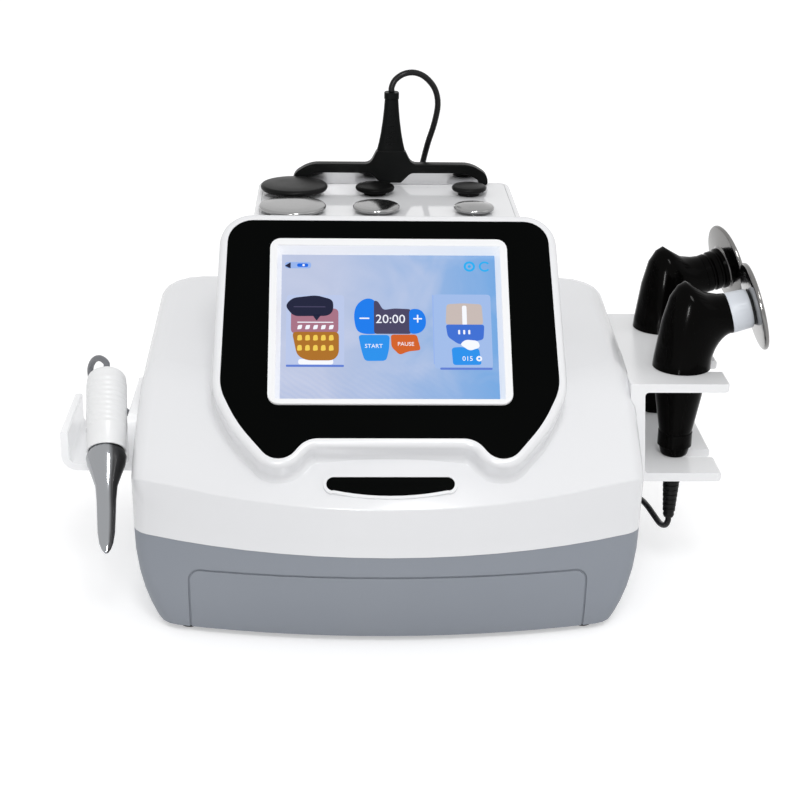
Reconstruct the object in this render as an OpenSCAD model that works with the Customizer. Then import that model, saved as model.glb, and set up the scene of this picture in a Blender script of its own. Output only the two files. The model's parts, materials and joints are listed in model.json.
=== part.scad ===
// Tecar therapy console with its handpieces, electrodes and return plate.
// Millimetres. X runs to the right, Y away from the user, Z up; the feet stand on Z = 0.

/* [Console] */
// Width over the parting line
console_w = 387; // [380:1:392]
// Depth at the parting line
console_d = 300; // [296:1:304]
// Height of the grey base
base_h = 80; // [78:1:82]
// Height where the front wall turns into the slope
crease_h = 120; // [118:1:122]
// Height of the line where the front starts to lean out
lip_h = 90; // [88:0.5:92]
// How far the front leans out up to its crease
lip_step = 3.6; // [2:0.1:4.5]
// Height of the white shoulders over the middle of the console
shoulder_h = 193.4; // [192:0.2:195]
// Rise of the shoulders towards the back, in degrees
shoulder_rise = 5.2; // [4.6:0.2:5.8]
// Half width of the tower
tower_half = 104.5; // [104:0.5:106]
// Back face of the tower
tower_back = 126; // [125.5:0.5:127]
// Radius of the bow of the front in plan
bow_r = 430; // [400:5:500]
// Wall thickness of the mouldings
wall = 3; // [2.5:0.1:3.5]
// Distance from the middle of the whole object to the middle of the console
console_x = -24.5; // [-30:0.5:-18]

/* [Screen] */
// Lean of the screen from upright, in degrees
screen_tilt = 45.5; // [44.5:0.5:46.5]
// Depth position of the middle of the screen
screen_y = -60.7; // [-63:0.1:-58]
// Height of the middle of the screen
screen_z = 228.5; // [227:0.1:230]
// Width of the lit picture, 8 inch at 4 to 3
screen_w = 162; // [160:0.5:164]
// Height of the lit picture
screen_h = 121.5; // [120:0.5:123]
// Distance of the black panel's face in front of the picture
panel_lift = 8; // [7:0.5:9]
// Thickness of the black panel
panel_t = 2.5; // [2:0.1:3]
// Width of the white rim round the black panel
rim_w = 6.4; // [6:0.2:6.8]

/* [Tray] */
// Height of the tray's floor
tray_z = 293; // [292:0.5:294]
// Half width of the tray
tray_half = 100; // [98:0.5:100.5]
// Front edge of the tray
tray_front = 4.2; // [4:0.1:4.5]
// Back edge of the tray
tray_back = 121.7; // [121.5:0.1:122]
// Bore of the sockets that hold the spare heads
socket_r = 5.1; // [5.05:0.01:5.2]
// Radius of the spare heads' stems
stem_r = 5; // [4.9:0.01:5]

/* [Handpieces] */
// Distance of the handpieces' axis from the middle of the console
hand_x = 231; // [229:0.5:233]
// Depth position of the front handpiece
hand_y = -22; // [-24:0.5:-20]
// Distance between the two handpieces
hand_pitch = 95; // [93:0.5:97]
// Turn of the rear handpiece about its own axis, in degrees
rear_turn = 11; // [6:1:14]
// Upward lean of the nose, in degrees
nose_tilt = 15.5; // [14:0.5:17]
// Radius of the steel discs on the handpieces
disc_r = 35; // [33:0.5:36]
// Radius of the lifting pocket in the upper shelf
pocket_r = 20.8; // [20.6:0.1:21.2]

/* [Brackets] */
// Top of the upper shelf
shelf_z = 183.4; // [182:0.2:185]
// Top of the lower shelf
low_shelf_z = 109; // [108:0.5:110]
// Outer edge of the shelves from the middle of the console
shelf_x = 262; // [260:0.5:264]
// Thickness of the bracket sheet
sheet_t = 7; // [6.5:0.5:7.5]
// Outer edge of the left cradle from the middle of the console
cradle_x = 251; // [249:0.5:253]
// Underside of the left cradle
cradle_z = 110; // [108:0.5:111]

/* [Blade handpiece] */
// Fall of the grip below level, in degrees
grip_tilt = 37; // [36:0.5:38]
// Turn of the grip towards the console, in degrees
grip_turn = 5; // [4:0.5:6]
// Length of the grip
grip_l = 72; // [70:0.5:74]
// Radius of the grip between its ribs
grip_r = 15.2; // [15:0.1:15.4]
// Number of ribs on the grip
grip_ribs = 10; // [8:1:11]
// Length of the chrome blade
blade_l = 86; // [82:0.5:88]

/* [Return plate] */
// Width of the steel plate
plate_w = 156; // [150:1:158]
// Height of the steel plate
plate_h = 150; // [140:1:155]
// Distance of the plate's middle from the middle of the console
plate_x = 5; // [3:0.5:7]
// Depth position of the plate
plate_y = 117.5; // [117:0.1:117.5]

/* [Leads] */
// Diameter of the leads
lead_d = 5; // [4.8:0.1:5]
// Distance between neighbouring turns of a coil
turn_pitch = 5.5; // [5.5:0.1:6]
// Radius of the outermost turn of a coil
coil_r = 35; // [34:0.5:36]
// Number of turns in each coil
coil_turns = 6.5; // [4.5:1:6.5]
// Depth position of the coils' middles
coil_y = 196; // [194:0.5:198]

/* [Quality] */
// Facets on round parts
facets = 48; // [32:8:96]

/* [Hidden] */
$fn = facets;
eps = 0.01;
gap = 0.3;
half_w = console_w / 2;
half_d = console_d / 2;
foot_h = 5;
ring_seg = 14;
panel_z = panel_lift;
slope = tan(screen_tilt);
roll_r = 14;
roll_h = shoulder_h - roll_r;
front_y = -half_d - 0.6 - lip_step;
// Level of the slope's surface on the centre line, seen from the lit picture.
slope_0 = (screen_y - front_y) * cos(screen_tilt) + (crease_h - screen_z) * sin(screen_tilt);
plate_t = 1.5;
shelf_front = -62;
shelf_back = 106;
cradle_front = -60;
cradle_back = 22;
cradle_t = 6;
cradle_wall = 5;
mouth = [-214.5, -71, 130.5];
nose_end = [34, 43.8];
back_panel_y = 141.5;
fitting_z = 44;
fan_x = -5;
inlet_x = -105;
rocker_x = -67;
spare_socket_x = 55;
plug_xs = [-40, 85, 115];
coil_xs = [-75, 50, 150];
coil_z = 3.4;
head_xs = [-74.3, -8.6, 68.3];
steel_rs = [26.4, 18.5, 16];
black_rs = [27.2, 15.9, 14.2];
steel_y = 30.3;
black_y = 84.6;
rear_y = hand_y + hand_pitch;

// Route of the front handpiece's lead, from its strain relief to its coil.
front_route = [
  [231, -22, 53], [231, -22, 49], [229.8, -18.5, 43.4], [227.4, -9.5, 40.4],
  [224.6, 4, 41.4], [221.6, 18, 43], [218.6, 34, 42], [214.6, 52, 36.5],
  [211, 70, 27], [208, 88, 16], [206, 105, 7], [205, 120, 3.4],
  [203, 138, 2.8], [197.5, 155, 2.8], [190.5, 170, 2.9], [186, 180, 3.2],
  [185, 186, 3.4], [185, 191, 3.4]
];
// Route of the return plate's lead, from its strain relief to its coil.
plate_route = [
  [5, 117.5, 370], [5, 117.5, 374], [8, 118, 380], [15, 119.5, 384.5], [24, 122.5, 385],
  [33, 126, 380.5], [41, 130, 370.5], [44, 133, 357], [41.5, 136, 340],
  [36.5, 139, 322], [32, 143, 300], [29, 149, 275], [28, 156, 250],
  [28, 160, 220], [28, 162, 180], [28, 163.5, 140], [28, 164.5, 100],
  [27.5, 165, 70], [25.5, 166.5, 42], [21, 170, 20], [16.6, 177, 7],
  [15, 185, 3.4], [15, 191, 3.4]
];
// Route of the blade handpiece's lead, from behind its end cap to its coil.
left_route = [
  [-220.5, -7, 179.2], [-225, -2, 180.8], [-230, 3.5, 178.5],
  [-234.2, 9, 172.5], [-236.5, 14, 164], [-236, 19, 153], [-231.5, 24, 143],
  [-224.5, 29, 134], [-216.5, 34, 125.5], [-209, 41, 114.5], [-204, 52, 97],
  [-202, 67, 73], [-202, 85, 45], [-203, 104, 20], [-204, 120, 6.5],
  [-202.5, 136, 3], [-195, 151, 2.8], [-180, 161.5, 2.8], [-160, 166.5, 2.8],
  [-139, 170.5, 2.8], [-121.5, 176, 3], [-112, 182, 3.2], [-110, 186.5, 3.4],
  [-110, 191, 3.4]
];

function unit(v) = v / norm(v);
// Way from the blade handpiece's mouth to its tail, and the middle of its tail.
grip_axis = [
  -sin(grip_turn) * cos(grip_tilt), cos(grip_turn) * cos(grip_tilt), sin(grip_tilt)
];
grip_tail = mouth + grip_l * grip_axis;
function xy(p) = [p.x, p.y];
function wrap(a) = ((a + 540) % 360) - 180;

// Points of the fillet of radius r at corner b between its neighbours a and c.
function fillet(a, b, c, r, n) =
  let (
    u = unit(a - b),
    v = unit(c - b),
    h = acos(u * v) / 2,
    m = unit(u + v),
    o = b + m * r / sin(h),
    p = b + u * r / tan(h) - o,
    q = b + v * r / tan(h) - o,
    a0 = atan2(p.y, p.x),
    d = wrap(atan2(q.y, q.x) - a0)
  )
  [for (i = [0 : n]) o + r * [cos(a0 + d * i / n), sin(a0 + d * i / n)]];

// Outline through corners [x, y, radius], each one rounded.
function rounded(c, n = 5) =
  let (k = len(c))
  [
    for (i = [0 : k - 1])
      each fillet(xy(c[(i + k - 1) % k]), xy(c[i]), xy(c[(i + 1) % k]), c[i].z, n)
  ];

// The same corners moved outwards by d, with their radii kept in step.
function grown(c, d) =
  let (k = len(c))
  [
    for (i = [0 : k - 1])
      let (
        a = xy(c[(i + k - 1) % k]),
        b = xy(c[i]),
        e = xy(c[(i + 1) % k]),
        u = unit(a - b),
        v = unit(e - b),
        s = cross(b - a, e - b) > 0 ? 1 : -1,
        p = b - s * unit(u + v) * d / sin(acos(u * v) / 2)
      )
      [p.x, p.y, max(0.6, c[i].z + s * d)]
  ];

// Corners of half an outline, continued by their mirror images.
function both_sides(c) =
  concat(c, [for (i = [len(c) - 1 : -1 : 0]) [-c[i].x, c[i].y, c[i].z]]);

function box_corners(x, y0, y1, r) =
  [[x, y0, r], [x, y1, r], [-x, y1, r], [-x, y0, r]];

// Closed solid through rings of equal point count, lowest first, each one
// counterclockwise when seen from the end of the row.
module loft(rings) {
  m = len(rings[0]);
  n = len(rings);
  sides = [
    for (i = [0 : n - 2])
      for (j = [0 : m - 1])
        let (k = (j + 1) % m, a = i * m, b = a + m)
        each [[b + j, b + k, a + k], [b + j, a + k, a + j]]
  ];
  ends = [
    [for (j = [0 : m - 1]) j],
    [for (j = [m - 1 : -1 : 0]) (n - 1) * m + j]
  ];
  polyhedron([for (r = rings) each r], concat(sides, ends), convexity = 8);
}

module along_y(y0, y1) {
  translate([0, y1, 0])
    rotate([90, 0, 0])
      linear_extrude(y1 - y0, convexity = 6)
        children();
}

module along_x(x0, x1) {
  translate([x0, 0, 0])
    rotate([90, 0, 90])
      linear_extrude(x1 - x0, convexity = 6)
        children();
}

// Moves its children to the screen: X right, Y up the slope, Z out of the glass.
module on_screen(z = 0) {
  translate([0, screen_y, screen_z])
    rotate([90 - screen_tilt, 0, 0])
      translate([0, 0, z])
        children();
}

function on_screen_point(p) =
  [
    p.x,
    screen_y + p.y * sin(screen_tilt) - p.z * cos(screen_tilt),
    screen_z + p.y * cos(screen_tilt) + p.z * sin(screen_tilt)
  ];

// Plan outline of the housing: a bowed front, rounded corners and a flat back.
function plan_ring(z, w, front, back, bow, front_r = 20, back_r = 26) =
  let (
    a = asin((w - front_r) / (bow - front_r)),
    y1 = front + bow - sqrt(pow(bow - front_r, 2) - pow(w - front_r, 2)),
    back_bow = 5000,
    b = asin((w - back_r) / (back_bow - back_r)),
    y2 = back - back_bow + sqrt(pow(back_bow - back_r, 2) - pow(w - back_r, 2))
  )
  [
    for (i = [0 : ring_seg - 1])
      let (t = -a + 2 * a * i / ring_seg)
      [bow * sin(t), front + bow - bow * cos(t), z],
    for (i = [0 : 4])
      let (t = a + (90 - a) * i / 4)
      [w - front_r + front_r * sin(t), y1 - front_r * cos(t), z],
    for (i = [0 : 4])
      let (t = 90 + (90 - b) * i / 4)
      [w - back_r + back_r * sin(t), y2 - back_r * cos(t), z],
    for (i = [1 : 3])
      let (t = 180 - b + 2 * b * i / 4)
      [back_bow * sin(t), back - back_bow - back_bow * cos(t), z],
    for (i = [0 : 4])
      let (t = 180 + b + (90 - b) * i / 4)
      [back_r - w + back_r * sin(t), y2 - back_r * cos(t), z],
    for (i = [0 : 4])
      let (t = 270 + (90 - a) * i / 4)
      [front_r - w + front_r * sin(t), y1 - front_r * cos(t), z]
  ];

// Outline of the grey base at height z, drawn in by g.
function base_ring(z, g) =
  let (t = max(0, base_h - z) / (base_h - foot_h), k = pow(t, 2.1))
  plan_ring(z, half_w - 17.5 * k - g, -half_d + 17 * k + g, half_d - 8 * t * t - g,
            bow_r + 270 * t * t - g);

// Rise of the front's creases from the middle towards its corners.
function corner_lift(z) =
  z < base_h + 5 ? 0 : z < crease_h + 1 ? 8.5 : max(0, 8.5 - (z - crease_h) / 7);

// Climb of the outline at height z towards the back, level at the crease.
function lean_at(z) =
  tan(shoulder_rise) * max(0, min(1, (z - crease_h - 1) / (roll_h - crease_h - 1)));

// Outline of the white body at height z, drawn in by g; e rounds the shoulders.
// Its front leans out from the lip line up to the crease, and then slopes back.
function body_ring(z, g, e = 0, f = undef) =
  let (
    rise = max(0, z - crease_h),
    k = lean_at(z),
    w = half_w - 8 * pow(rise / 90, 1.5),
    out = lip_step * min(1, max(0, z - lip_h) / (crease_h - lip_h)),
    front = !is_undef(f) ? f
      : rise > 0 ? (front_y + rise * slope) / (1 - slope * k) + g * 1.45
      : -half_d - 0.6 - out + g,
    ring = plan_ring(z, w - g - e, front, half_d - g - e, bow_r - g)
  )
  [
    for (p = ring)
      let (s = p.y < front + 60 ? corner_lift(z) * pow(p.x / half_w, 2) : 0)
      [p.x, p.y, p.z + k * p.y + s * max(0, min(1, (front + 60 - p.y) / 25))]
  ];

// Front edge of the outline that lies h below the top of the shoulders: the
// slope bends over onto them in an arc that meets both.
function roll_front(g, h) =
  let (
    r = 55.2 - g,
    s0 = sqrt(1 - pow(1 - (roll_r - g) / r, 2)),
    s1 = sqrt(1 - pow(1 - h / r, 2))
  )
  (front_y + (roll_h - crease_h) * slope) / (1 - slope * tan(shoulder_rise)) + 1.45 * g
    + r * (s0 - s1);

module base_loft(g, z0, z1) {
  loft([
    for (i = [0 : 6])
      base_ring(z0 + (z1 - z0) * pow(i / 6, 1.5), g)
  ]);
}

module body_loft(g, z0) {
  r = roll_r - g;
  loft([
    for (z = [z0, lip_h - 1, lip_h, crease_h - 1, crease_h + 1]) body_ring(z, g),
    for (i = [1 : 5])
      body_ring(crease_h + 1 + (roll_h - crease_h - 1) * i / 5, g),
    for (i = [1 : 6])
      let (h = r * (1 - sin(15 * i)))
      body_ring(shoulder_h - g - h, g, r * (1 - cos(15 * i)), roll_front(g, h))
  ]);
}

// Corners of the black panel, right half from the top down, then mirrored.
panel_half = [
  [61.8, -94, 18.4], [80.9, -118.6, 14.9], [111.7, -81.9, 107], [124.9, -54.3, 38],
  [122, 86.6, 19]
];
panel_outline = both_sides(panel_half);

module panel_shape(d = 0) {
  polygon(rounded(grown(panel_outline, d), 8));
}

// Level of the slope's surface below the place u to the side of the picture.
function slope_level(u) =
  slope_0 - cos(screen_tilt) * (bow_r - sqrt(bow_r * bow_r - u * u));

// Outline of the surround's foot, k outside its flank and h above the slope.
// Only the lower half of the surround runs out onto the slope.
function foot_ring(k, h, z = undef) =
  let (
    near = rounded(grown(panel_outline, rim_w), 8),
    far = rounded(grown(panel_outline, rim_w + 10), 8)
  )
  [
    for (i = [0 : len(near) - 1])
      let (
        s = max(0, min(1, (-30 - near[i].y) / 30)),
        p = near[i] + (far[i] - near[i]) * k / 10 * s
      )
      on_screen_point([p.x, p.y, is_undef(z) ? slope_level(p.x) + h : z])
  ];

// Raised surround of the black panel, cut off upright behind its upper edge.
module pedestal() {
  function level(d, z) =
    [for (p = rounded(grown(panel_outline, d), 8)) on_screen_point([p.x, p.y, z])];
  cove = 7;
  r = 4.6;
  intersection() {
    loft([
      foot_ring(9.9, 0, -150),
      foot_ring(9.9, -2),
      for (a = [66, 44, 22, 0])
        foot_ring(cove * (1 - cos(a)), cove * (1 - sin(a))),
      for (a = [90, 60, 30, 0])
        level(rim_w - r + r * sin(a), panel_z - r * (1 - cos(a)))
    ]);
    translate([-200, -220, 108])
      cube([400, 222.3, 230]);
  }
}

// Room inside the surround, below the ledge that carries the black panel.
module pedestal_hollow() {
  intersection() {
    on_screen(-150)
      linear_extrude(150 + panel_z - panel_t - 4)
        polygon(rounded(grown(panel_outline, rim_w - wall), 8));
    translate([-200, -220, base_h - 1])
      cube([400, 219.3, 260]);
  }
}

// Box behind the surround that carries the tray.
module tower() {
  function level(d, y) =
    [
      for (p = rounded(box_corners(tower_half - d, d, tower_back - d, 8)))
        [p.x, p.y, tray_z - y]
    ];
  loft([level(0, 143), level(0, 3), level(0.4, 1.5), level(1.5, 0.4), level(3, 0)]);
}

module rounded_box(x, y0, y1, r, z0, z1) {
  translate([0, 0, z0])
    linear_extrude(z1 - z0)
      polygon(rounded(box_corners(x, y0, y1, r)));
}

module frame_shape(d) {
  translate([0, 1.1])
    polygon(rounded(box_corners(screen_w / 2 + 9 + d, -screen_h / 2 - 8 - d,
                                screen_h / 2 + 8 + d, 8 + d)));
}

// Smile-shaped outline of the small black window, on the slope.
module window_shape(d = 0) {
  r = 5.2 + d;
  chord = 41.5;
  sag = 4.4;
  big = (chord * chord + sag * sag) / (2 * sag);
  top = -117;
  low = top - 10;
  polygon(concat(
    [for (a = [90 : -15 : -75]) [chord + r * cos(a), top - 5.2 + r * sin(a)]],
    [
      for (i = [0 : 10])
        let (t = asin(chord / big) * (1 - i / 5))
        [(big + d) * sin(t), low - sag + big - (big + d) * cos(t)]
    ],
    [for (a = [255 : -15 : 90]) [r * cos(a) - chord, top - 5.2 + r * sin(a)]]
  ));
}

module upper_shell() {
  color("white")
    difference() {
      union() {
        body_loft(0, base_h);
        tower();
        pedestal();
        on_screen(-panel_z - 8)
          linear_extrude(5.4)
            window_shape(2.4);
      }
      body_loft(wall, base_h - 1);
      rounded_box(tower_half - wall, wall, tower_back - wall, 5, 150, tray_z - 6);
      pedestal_hollow();
      on_screen(panel_z - panel_t)
        linear_extrude(10)
          panel_shape(0.2);
      on_screen(-20)
        linear_extrude(40)
          frame_shape(0.3);
      rounded_box(tray_half + 0.2, tray_front - 0.2, tray_back + 0.2, 6, tray_z - 3, 320);
      rounded_box(tray_half - 6, tray_front + 6, tray_back - 0.1, 6, tray_z - 40, 320);
      on_screen(-panel_z - 6.1)
        linear_extrude(20)
          window_shape(0.2);
    }
}

// Field on the front of the base, drawn in by d, with a gently bowed top edge.
module groove_field(d) {
  x = 151 - d;
  r = 11 - d;
  top = 63.5 - d;
  drop = 5;
  polygon(concat(
    [[-x, -20], [x, -20]],
    [for (a = [0 : 15 : 75]) [x - r + r * cos(a), top - drop - r + r * sin(a)]],
    [for (i = [8 : -1 : -8]) [(x - r) * i / 8, top - drop * pow(i / 8, 2)]],
    [for (a = [105 : 15 : 180]) [r - x + r * cos(a), top - drop - r + r * sin(a)]]
  ));
}

// Line cut round the embossed field on the front of the base.
module base_groove() {
  w = 1.6;
  difference() {
    along_y(-200, -60)
      difference() {
        groove_field(0);
        groove_field(w);
      }
    base_loft(1.2, foot_h - 1, base_h + 1);
  }
}

module base_shell() {
  color("slategray")
    difference() {
      union() {
        difference() {
          base_loft(0, foot_h, base_h);
          base_loft(wall, foot_h + wall, base_h + 1);
        }
        intersection() {
          translate([-140, back_panel_y, 12])
            cube([280, 12, 64]);
          base_loft(1, foot_h, base_h);
        }
        for (x = [-125, 125], y = [-70, 105])
          translate([x, y, foot_h + 1])
            cylinder(r = 6, h = 9);
      }
      base_groove();
      translate([-137.3, back_panel_y - 2.3, 12.7])
        cube([274.6, 2.3, 62.6]);
      translate([-131, back_panel_y - 20, 17])
        cube([262, 60, 54]);
      for (x = [-125, 125], y = [-70, 105])
        translate([x, y, foot_h - 1])
          cylinder(r = 1.6, h = 20);
    }
}

module rubber_feet() {
  color("black")
    for (x = [-152, 152], y = [-102, 112])
      translate([x, y, 0])
        rotate_extrude()
          polygon([[0, 0], [7.2, 0], [8, 1], [7.6, foot_h], [0, foot_h]]);
}

module front_panel() {
  color("black")
    on_screen(panel_z - panel_t)
      linear_extrude(panel_t)
        difference() {
          panel_shape(0);
          frame_shape(0.1);
        }
}

module screen_frame() {
  color("white")
    on_screen()
      difference() {
        linear_extrude(panel_z + 2.2)
          frame_shape(0);
        hull() {
          translate([0, 0, -0.1])
            linear_extrude(0.7)
              square([screen_w + 0.4, screen_h + 0.4], center = true);
          translate([0, 0, panel_z + 2])
            linear_extrude(3)
              square([screen_w + 7, screen_h + 6], center = true);
        }
      }
}

module touch_screen() {
  color("lightblue")
    on_screen(-1.4)
      linear_extrude(1.4)
        square([screen_w + 8, screen_h + 8], center = true);
}

module lcd_module() {
  color("silver")
    on_screen(-9)
      union() {
        translate([-86, -65.5, 1.6])
          cube([172, 131, 6]);
        translate([-80, -55, 0])
          cube([160, 110, 1.6]);
        translate([-60, -70, 2])
          cube([40, 5, 2.5]);
      }
}

module front_window() {
  color("black")
    on_screen(-panel_z - 6)
      linear_extrude(3.2)
        window_shape();
}

module electrode_tray() {
  color("white")
    difference() {
      union() {
        rounded_box(tray_half, tray_front, tray_back, 6, tray_z - 3, tray_z);
        for (i = [0 : 2], y = [steel_y, black_y])
          translate([head_xs[i], y, tray_z - 17])
            cylinder(r = 8, h = 15);
      }
      for (i = [0 : 2], y = [steel_y, black_y])
        translate([head_xs[i], y, tray_z - 15.5])
          cylinder(r = socket_r, h = 20);
      translate([plate_x - plate_w / 2 - 3, plate_y - 1.6, tray_z - 10])
        cube([plate_w + 6, 3.2, 20]);
    }
}

// Sleeve that hangs below the tray and takes the return plate.
module plate_pocket() {
  x = plate_w / 2 + 5.5;
  color("gainsboro")
    difference() {
      translate([plate_x - x, plate_y - 4, tray_z - plate_h])
        cube([2 * x, 8, plate_h - 3]);
      translate([plate_x - x + 2.5, plate_y - 1.6, tray_z - plate_h + 3])
        cube([2 * x - 5, 3.2, plate_h]);
    }
}

// One spare head: a disc on a hub, with a stem that drops into the tray.
module spare_head(x, y, r, top, t, crown) {
  translate([x, y, 0])
    rotate_extrude()
      polygon(concat(
        [[0, tray_z - 14], [stem_r - 1, tray_z - 14], [stem_r, tray_z - 13]],
        [[stem_r, tray_z + gap], [min(9, r - 5), tray_z + gap]],
        [[min(9, r - 5), top - t]],
        [
          for (i = [0 : 6])
            let (a = -90 + 30 * i)
            [r - t / 2 + t / 2 * cos(a), top - crown - t / 2 + t / 2 * sin(a)]
        ],
        [[r * 0.5, top - crown * 0.25], [0, top]]
      ));
}

module steel_head_large() {
  color("silver") spare_head(head_xs[0], steel_y, steel_rs[0], 299, 3.6, 0.5);
}

module steel_head_medium() {
  color("silver") spare_head(head_xs[1], steel_y, steel_rs[1], 299.2, 3.6, 0.6);
}

module steel_head_small() {
  color("silver") spare_head(head_xs[2], steel_y, steel_rs[2], 300.5, 3.6, 2);
}

module black_head_large() {
  color("black") spare_head(head_xs[0], black_y, black_rs[0], 301.8, 4.6, 0.6);
}

module black_head_medium() {
  color("black") spare_head(head_xs[1], black_y, black_rs[1], 301, 4.2, 0.6);
}

module black_head_small() {
  color("black") spare_head(head_xs[2], black_y, black_rs[2], 301.5, 4.2, 0.8);
}

// Outer face of the right bracket's sheet at height z, which follows the wall.
bracket_lean = 3.8;
function bracket_face(z) =
  half_w + 0.8 + sheet_t - (z - low_shelf_z) * tan(bracket_lean);

// Side view of the right bracket: a sheet bent into two shelves. Its inner
// edge is cut to the wall of the housing afterwards.
module right_bracket_shape() {
  t = sheet_t;
  polygon(rounded([
    [190, low_shelf_z - t, 1], [shelf_x, low_shelf_z - t, 2],
    [shelf_x, low_shelf_z, 2], [bracket_face(low_shelf_z), low_shelf_z, 3],
    [bracket_face(shelf_z - t), shelf_z - t, 3], [shelf_x + 0.6, shelf_z - t, 2],
    [shelf_x + 0.6, shelf_z, 2], [185.5, shelf_z, 1]
  ]));
}

module right_bracket() {
  color("white")
    difference() {
      intersection() {
        along_y(shelf_front, shelf_back) right_bracket_shape();
        linear_extrude(300)
          polygon(rounded([
            [180, shelf_front, 1], [shelf_x + 0.6, shelf_front, 5],
            [shelf_x + 0.6, shelf_back, 5], [180, shelf_back, 1]
          ]));
      }
      for (y = [hand_y, rear_y]) {
        translate([hand_x, y, shelf_z - 12])
          cylinder(r = pocket_r, h = 20);
        translate([hand_x, y - 12.5, shelf_z - 12])
          cube([60, 25, 20]);
        translate([hand_x, y, low_shelf_z - 12])
          cylinder(r = 8.2, h = 20);
        translate([hand_x, y - 8.2, low_shelf_z - 12])
          cube([60, 16.4, 20]);
      }
      for (y = [0, 50], z = [124, 160])
        translate([bracket_face(z), y, z])
          rotate([0, 90 - bracket_lean, 0])
            cylinder(r = 2.4, h = 40, center = true);
      body_loft(-0.2, base_h);
    }
}

// Front view of the left cradle: a trough with a low outer lip.
module left_cradle() {
  x0 = half_w - 4;
  x1 = half_w + 0.5 + cradle_wall;
  t = cradle_t;
  color("white")
    difference() {
      intersection() {
        along_y(cradle_front, cradle_back)
          polygon(rounded([
            [-x0, cradle_z + 46, 1], [-x1, cradle_z + 46, 1.5],
            [-x1, cradle_z + t, 4], [-cradle_x + t, cradle_z + t, 6],
            [-cradle_x + t, cradle_z + 32, 1.5], [-cradle_x, cradle_z + 32, 1.5],
            [-cradle_x, cradle_z, 12], [-x0, cradle_z, 1]
          ]));
        along_x(-cradle_x - 5, -half_w + 5)
          polygon(rounded([
            [cradle_front, 90, 1], [cradle_back, 90, 1], [cradle_back, 160, 4],
            [cradle_front, 160, 14]
          ]));
      }
      for (y = [-30, 0])
        translate([-210, y, 128])
          rotate([0, 90, 0])
            cylinder(r = 2.3, h = 20);
      body_loft(-0.2, base_h);
    }
}

// Sloping rest under the blade handpiece's grip.
module grip_rest() {
  z0 = cradle_z + cradle_t;
  color("whitesmoke")
    along_x(-226, -208)
      polygon([[-57, z0], [8, z0], [8, 138], [-26, 144.4], [-57, 121]]);
}

module screw(p, turn, r, l) {
  translate(p)
    rotate(turn)
      rotate_extrude($fn = 24)
        polygon([[0, -l], [r * 0.48, -l], [r * 0.48, 0], [r, 0], [r * 0.9, r * 0.45],
                 [r * 0.5, r * 0.62], [0, r * 0.62]]);
}

module bracket_screws() {
  color("silver") {
    for (y = [0, 50], z = [124, 160])
      screw([bracket_face(z) + 0.05, y, z], [0, 90 - bracket_lean, 0], 4.4, 5);
    for (y = [-30, 0])
      screw([-half_w - 0.5 - cradle_wall, y, 128], [0, -90, 0], 2.6, 4.5);
  }
}

module housing_screws() {
  color("dimgray")
    for (x = [-125, 125], y = [-70, 105])
      screw([x, y, foot_h], [180, 0, 0], 3.1, 8);
}

module chassis_plate() {
  color("silver")
    difference() {
      translate([-140, -88, foot_h + 10])
        cube([280, 212, 1.5]);
      for (x = [-125, 125], y = [-70, 105])
        translate([x, y, foot_h])
          cylinder(r = 1.8, h = 20);
      for (x = [-60 : 20 : 60])
        translate([x, -60, foot_h])
          cylinder(r = 4, h = 20);
    }
}

module power_supply() {
  color("gold")
    translate([-135, -20, foot_h + 11.5])
      difference() {
        cube([98, 129, 38]);
        translate([2, 2, 2])
          cube([94, 125, 40]);
      }
  color("gold")
    translate([-128, -12, foot_h + 13.5]) {
      cube([84, 112, 1.6]);
      translate([10, 20, 1.6]) cube([34, 30, 24]);
      translate([50, 60, 1.6]) cube([26, 40, 20]);
      translate([66, 20, 1.6]) cylinder(r = 9, h = 28);
      translate([20, 80, 1.6]) cylinder(r = 7, h = 22);
    }
}

module rf_generator_board() {
  z = foot_h + 11.5;
  color("green")
    translate([40, -70, z]) {
      translate([6, 6, 0]) cube([8, 8, 6]);
      translate([76, 6, 0]) cube([8, 8, 6]);
      translate([6, 142, 0]) cube([8, 8, 6]);
      translate([76, 142, 0]) cube([8, 8, 6]);
      translate([0, 0, 6]) cube([90, 156, 1.6]);
      translate([30, 50, 7.6]) rotate_extrude() translate([12, 0]) square([9, 16]);
      translate([62, 112, 7.6]) rotate_extrude() translate([8, 0]) square([7, 12]);
      for (i = [0 : 7]) translate([48 + 5 * i, 20, 7.6]) cube([2, 40, 26]);
      translate([48, 20, 7.6]) cube([37, 40, 4]);
      for (i = [0 : 3]) translate([14 + 14 * i, 96, 7.6]) cylinder(r = 5, h = 20);
    }
}

module main_board() {
  color("darkgreen")
    on_screen(-24)
      union() {
        translate([-70, -45, 0]) cube([140, 90, 1.6]);
        translate([-30, -15, 1.6]) cube([28, 28, 2]);
        translate([20, 0, 1.6]) cube([18, 12, 2]);
        translate([-66, -38, 1.6]) cube([8, 40, 8]);
        translate([52, -30, 1.6]) cube([12, 50, 6]);
        for (x = [-66, 60], y = [-41, 35])
          translate([x, y, 1.6]) cube([6, 6, 13.4]);
      }
}

module rear_panel() {
  color("dimgray")
    difference() {
      translate([-137, back_panel_y - 2, 13])
        cube([274, 2, 62]);
      translate([inlet_x - 14, back_panel_y - 5, fitting_z - 10.5])
        cube([28, 10, 21]);
      translate([rocker_x - 6.5, back_panel_y - 5, fitting_z - 9.8])
        cube([13, 10, 19.6]);
      translate([fan_x, back_panel_y - 5, fitting_z])
        rotate([-90, 0, 0])
          cylinder(r = 23.5, h = 10);
      for (x = concat(plug_xs, [spare_socket_x]))
        translate([x, back_panel_y - 5, fitting_z])
          rotate([-90, 0, 0])
            cylinder(r = 6.5, h = 10);
    }
}

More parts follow.
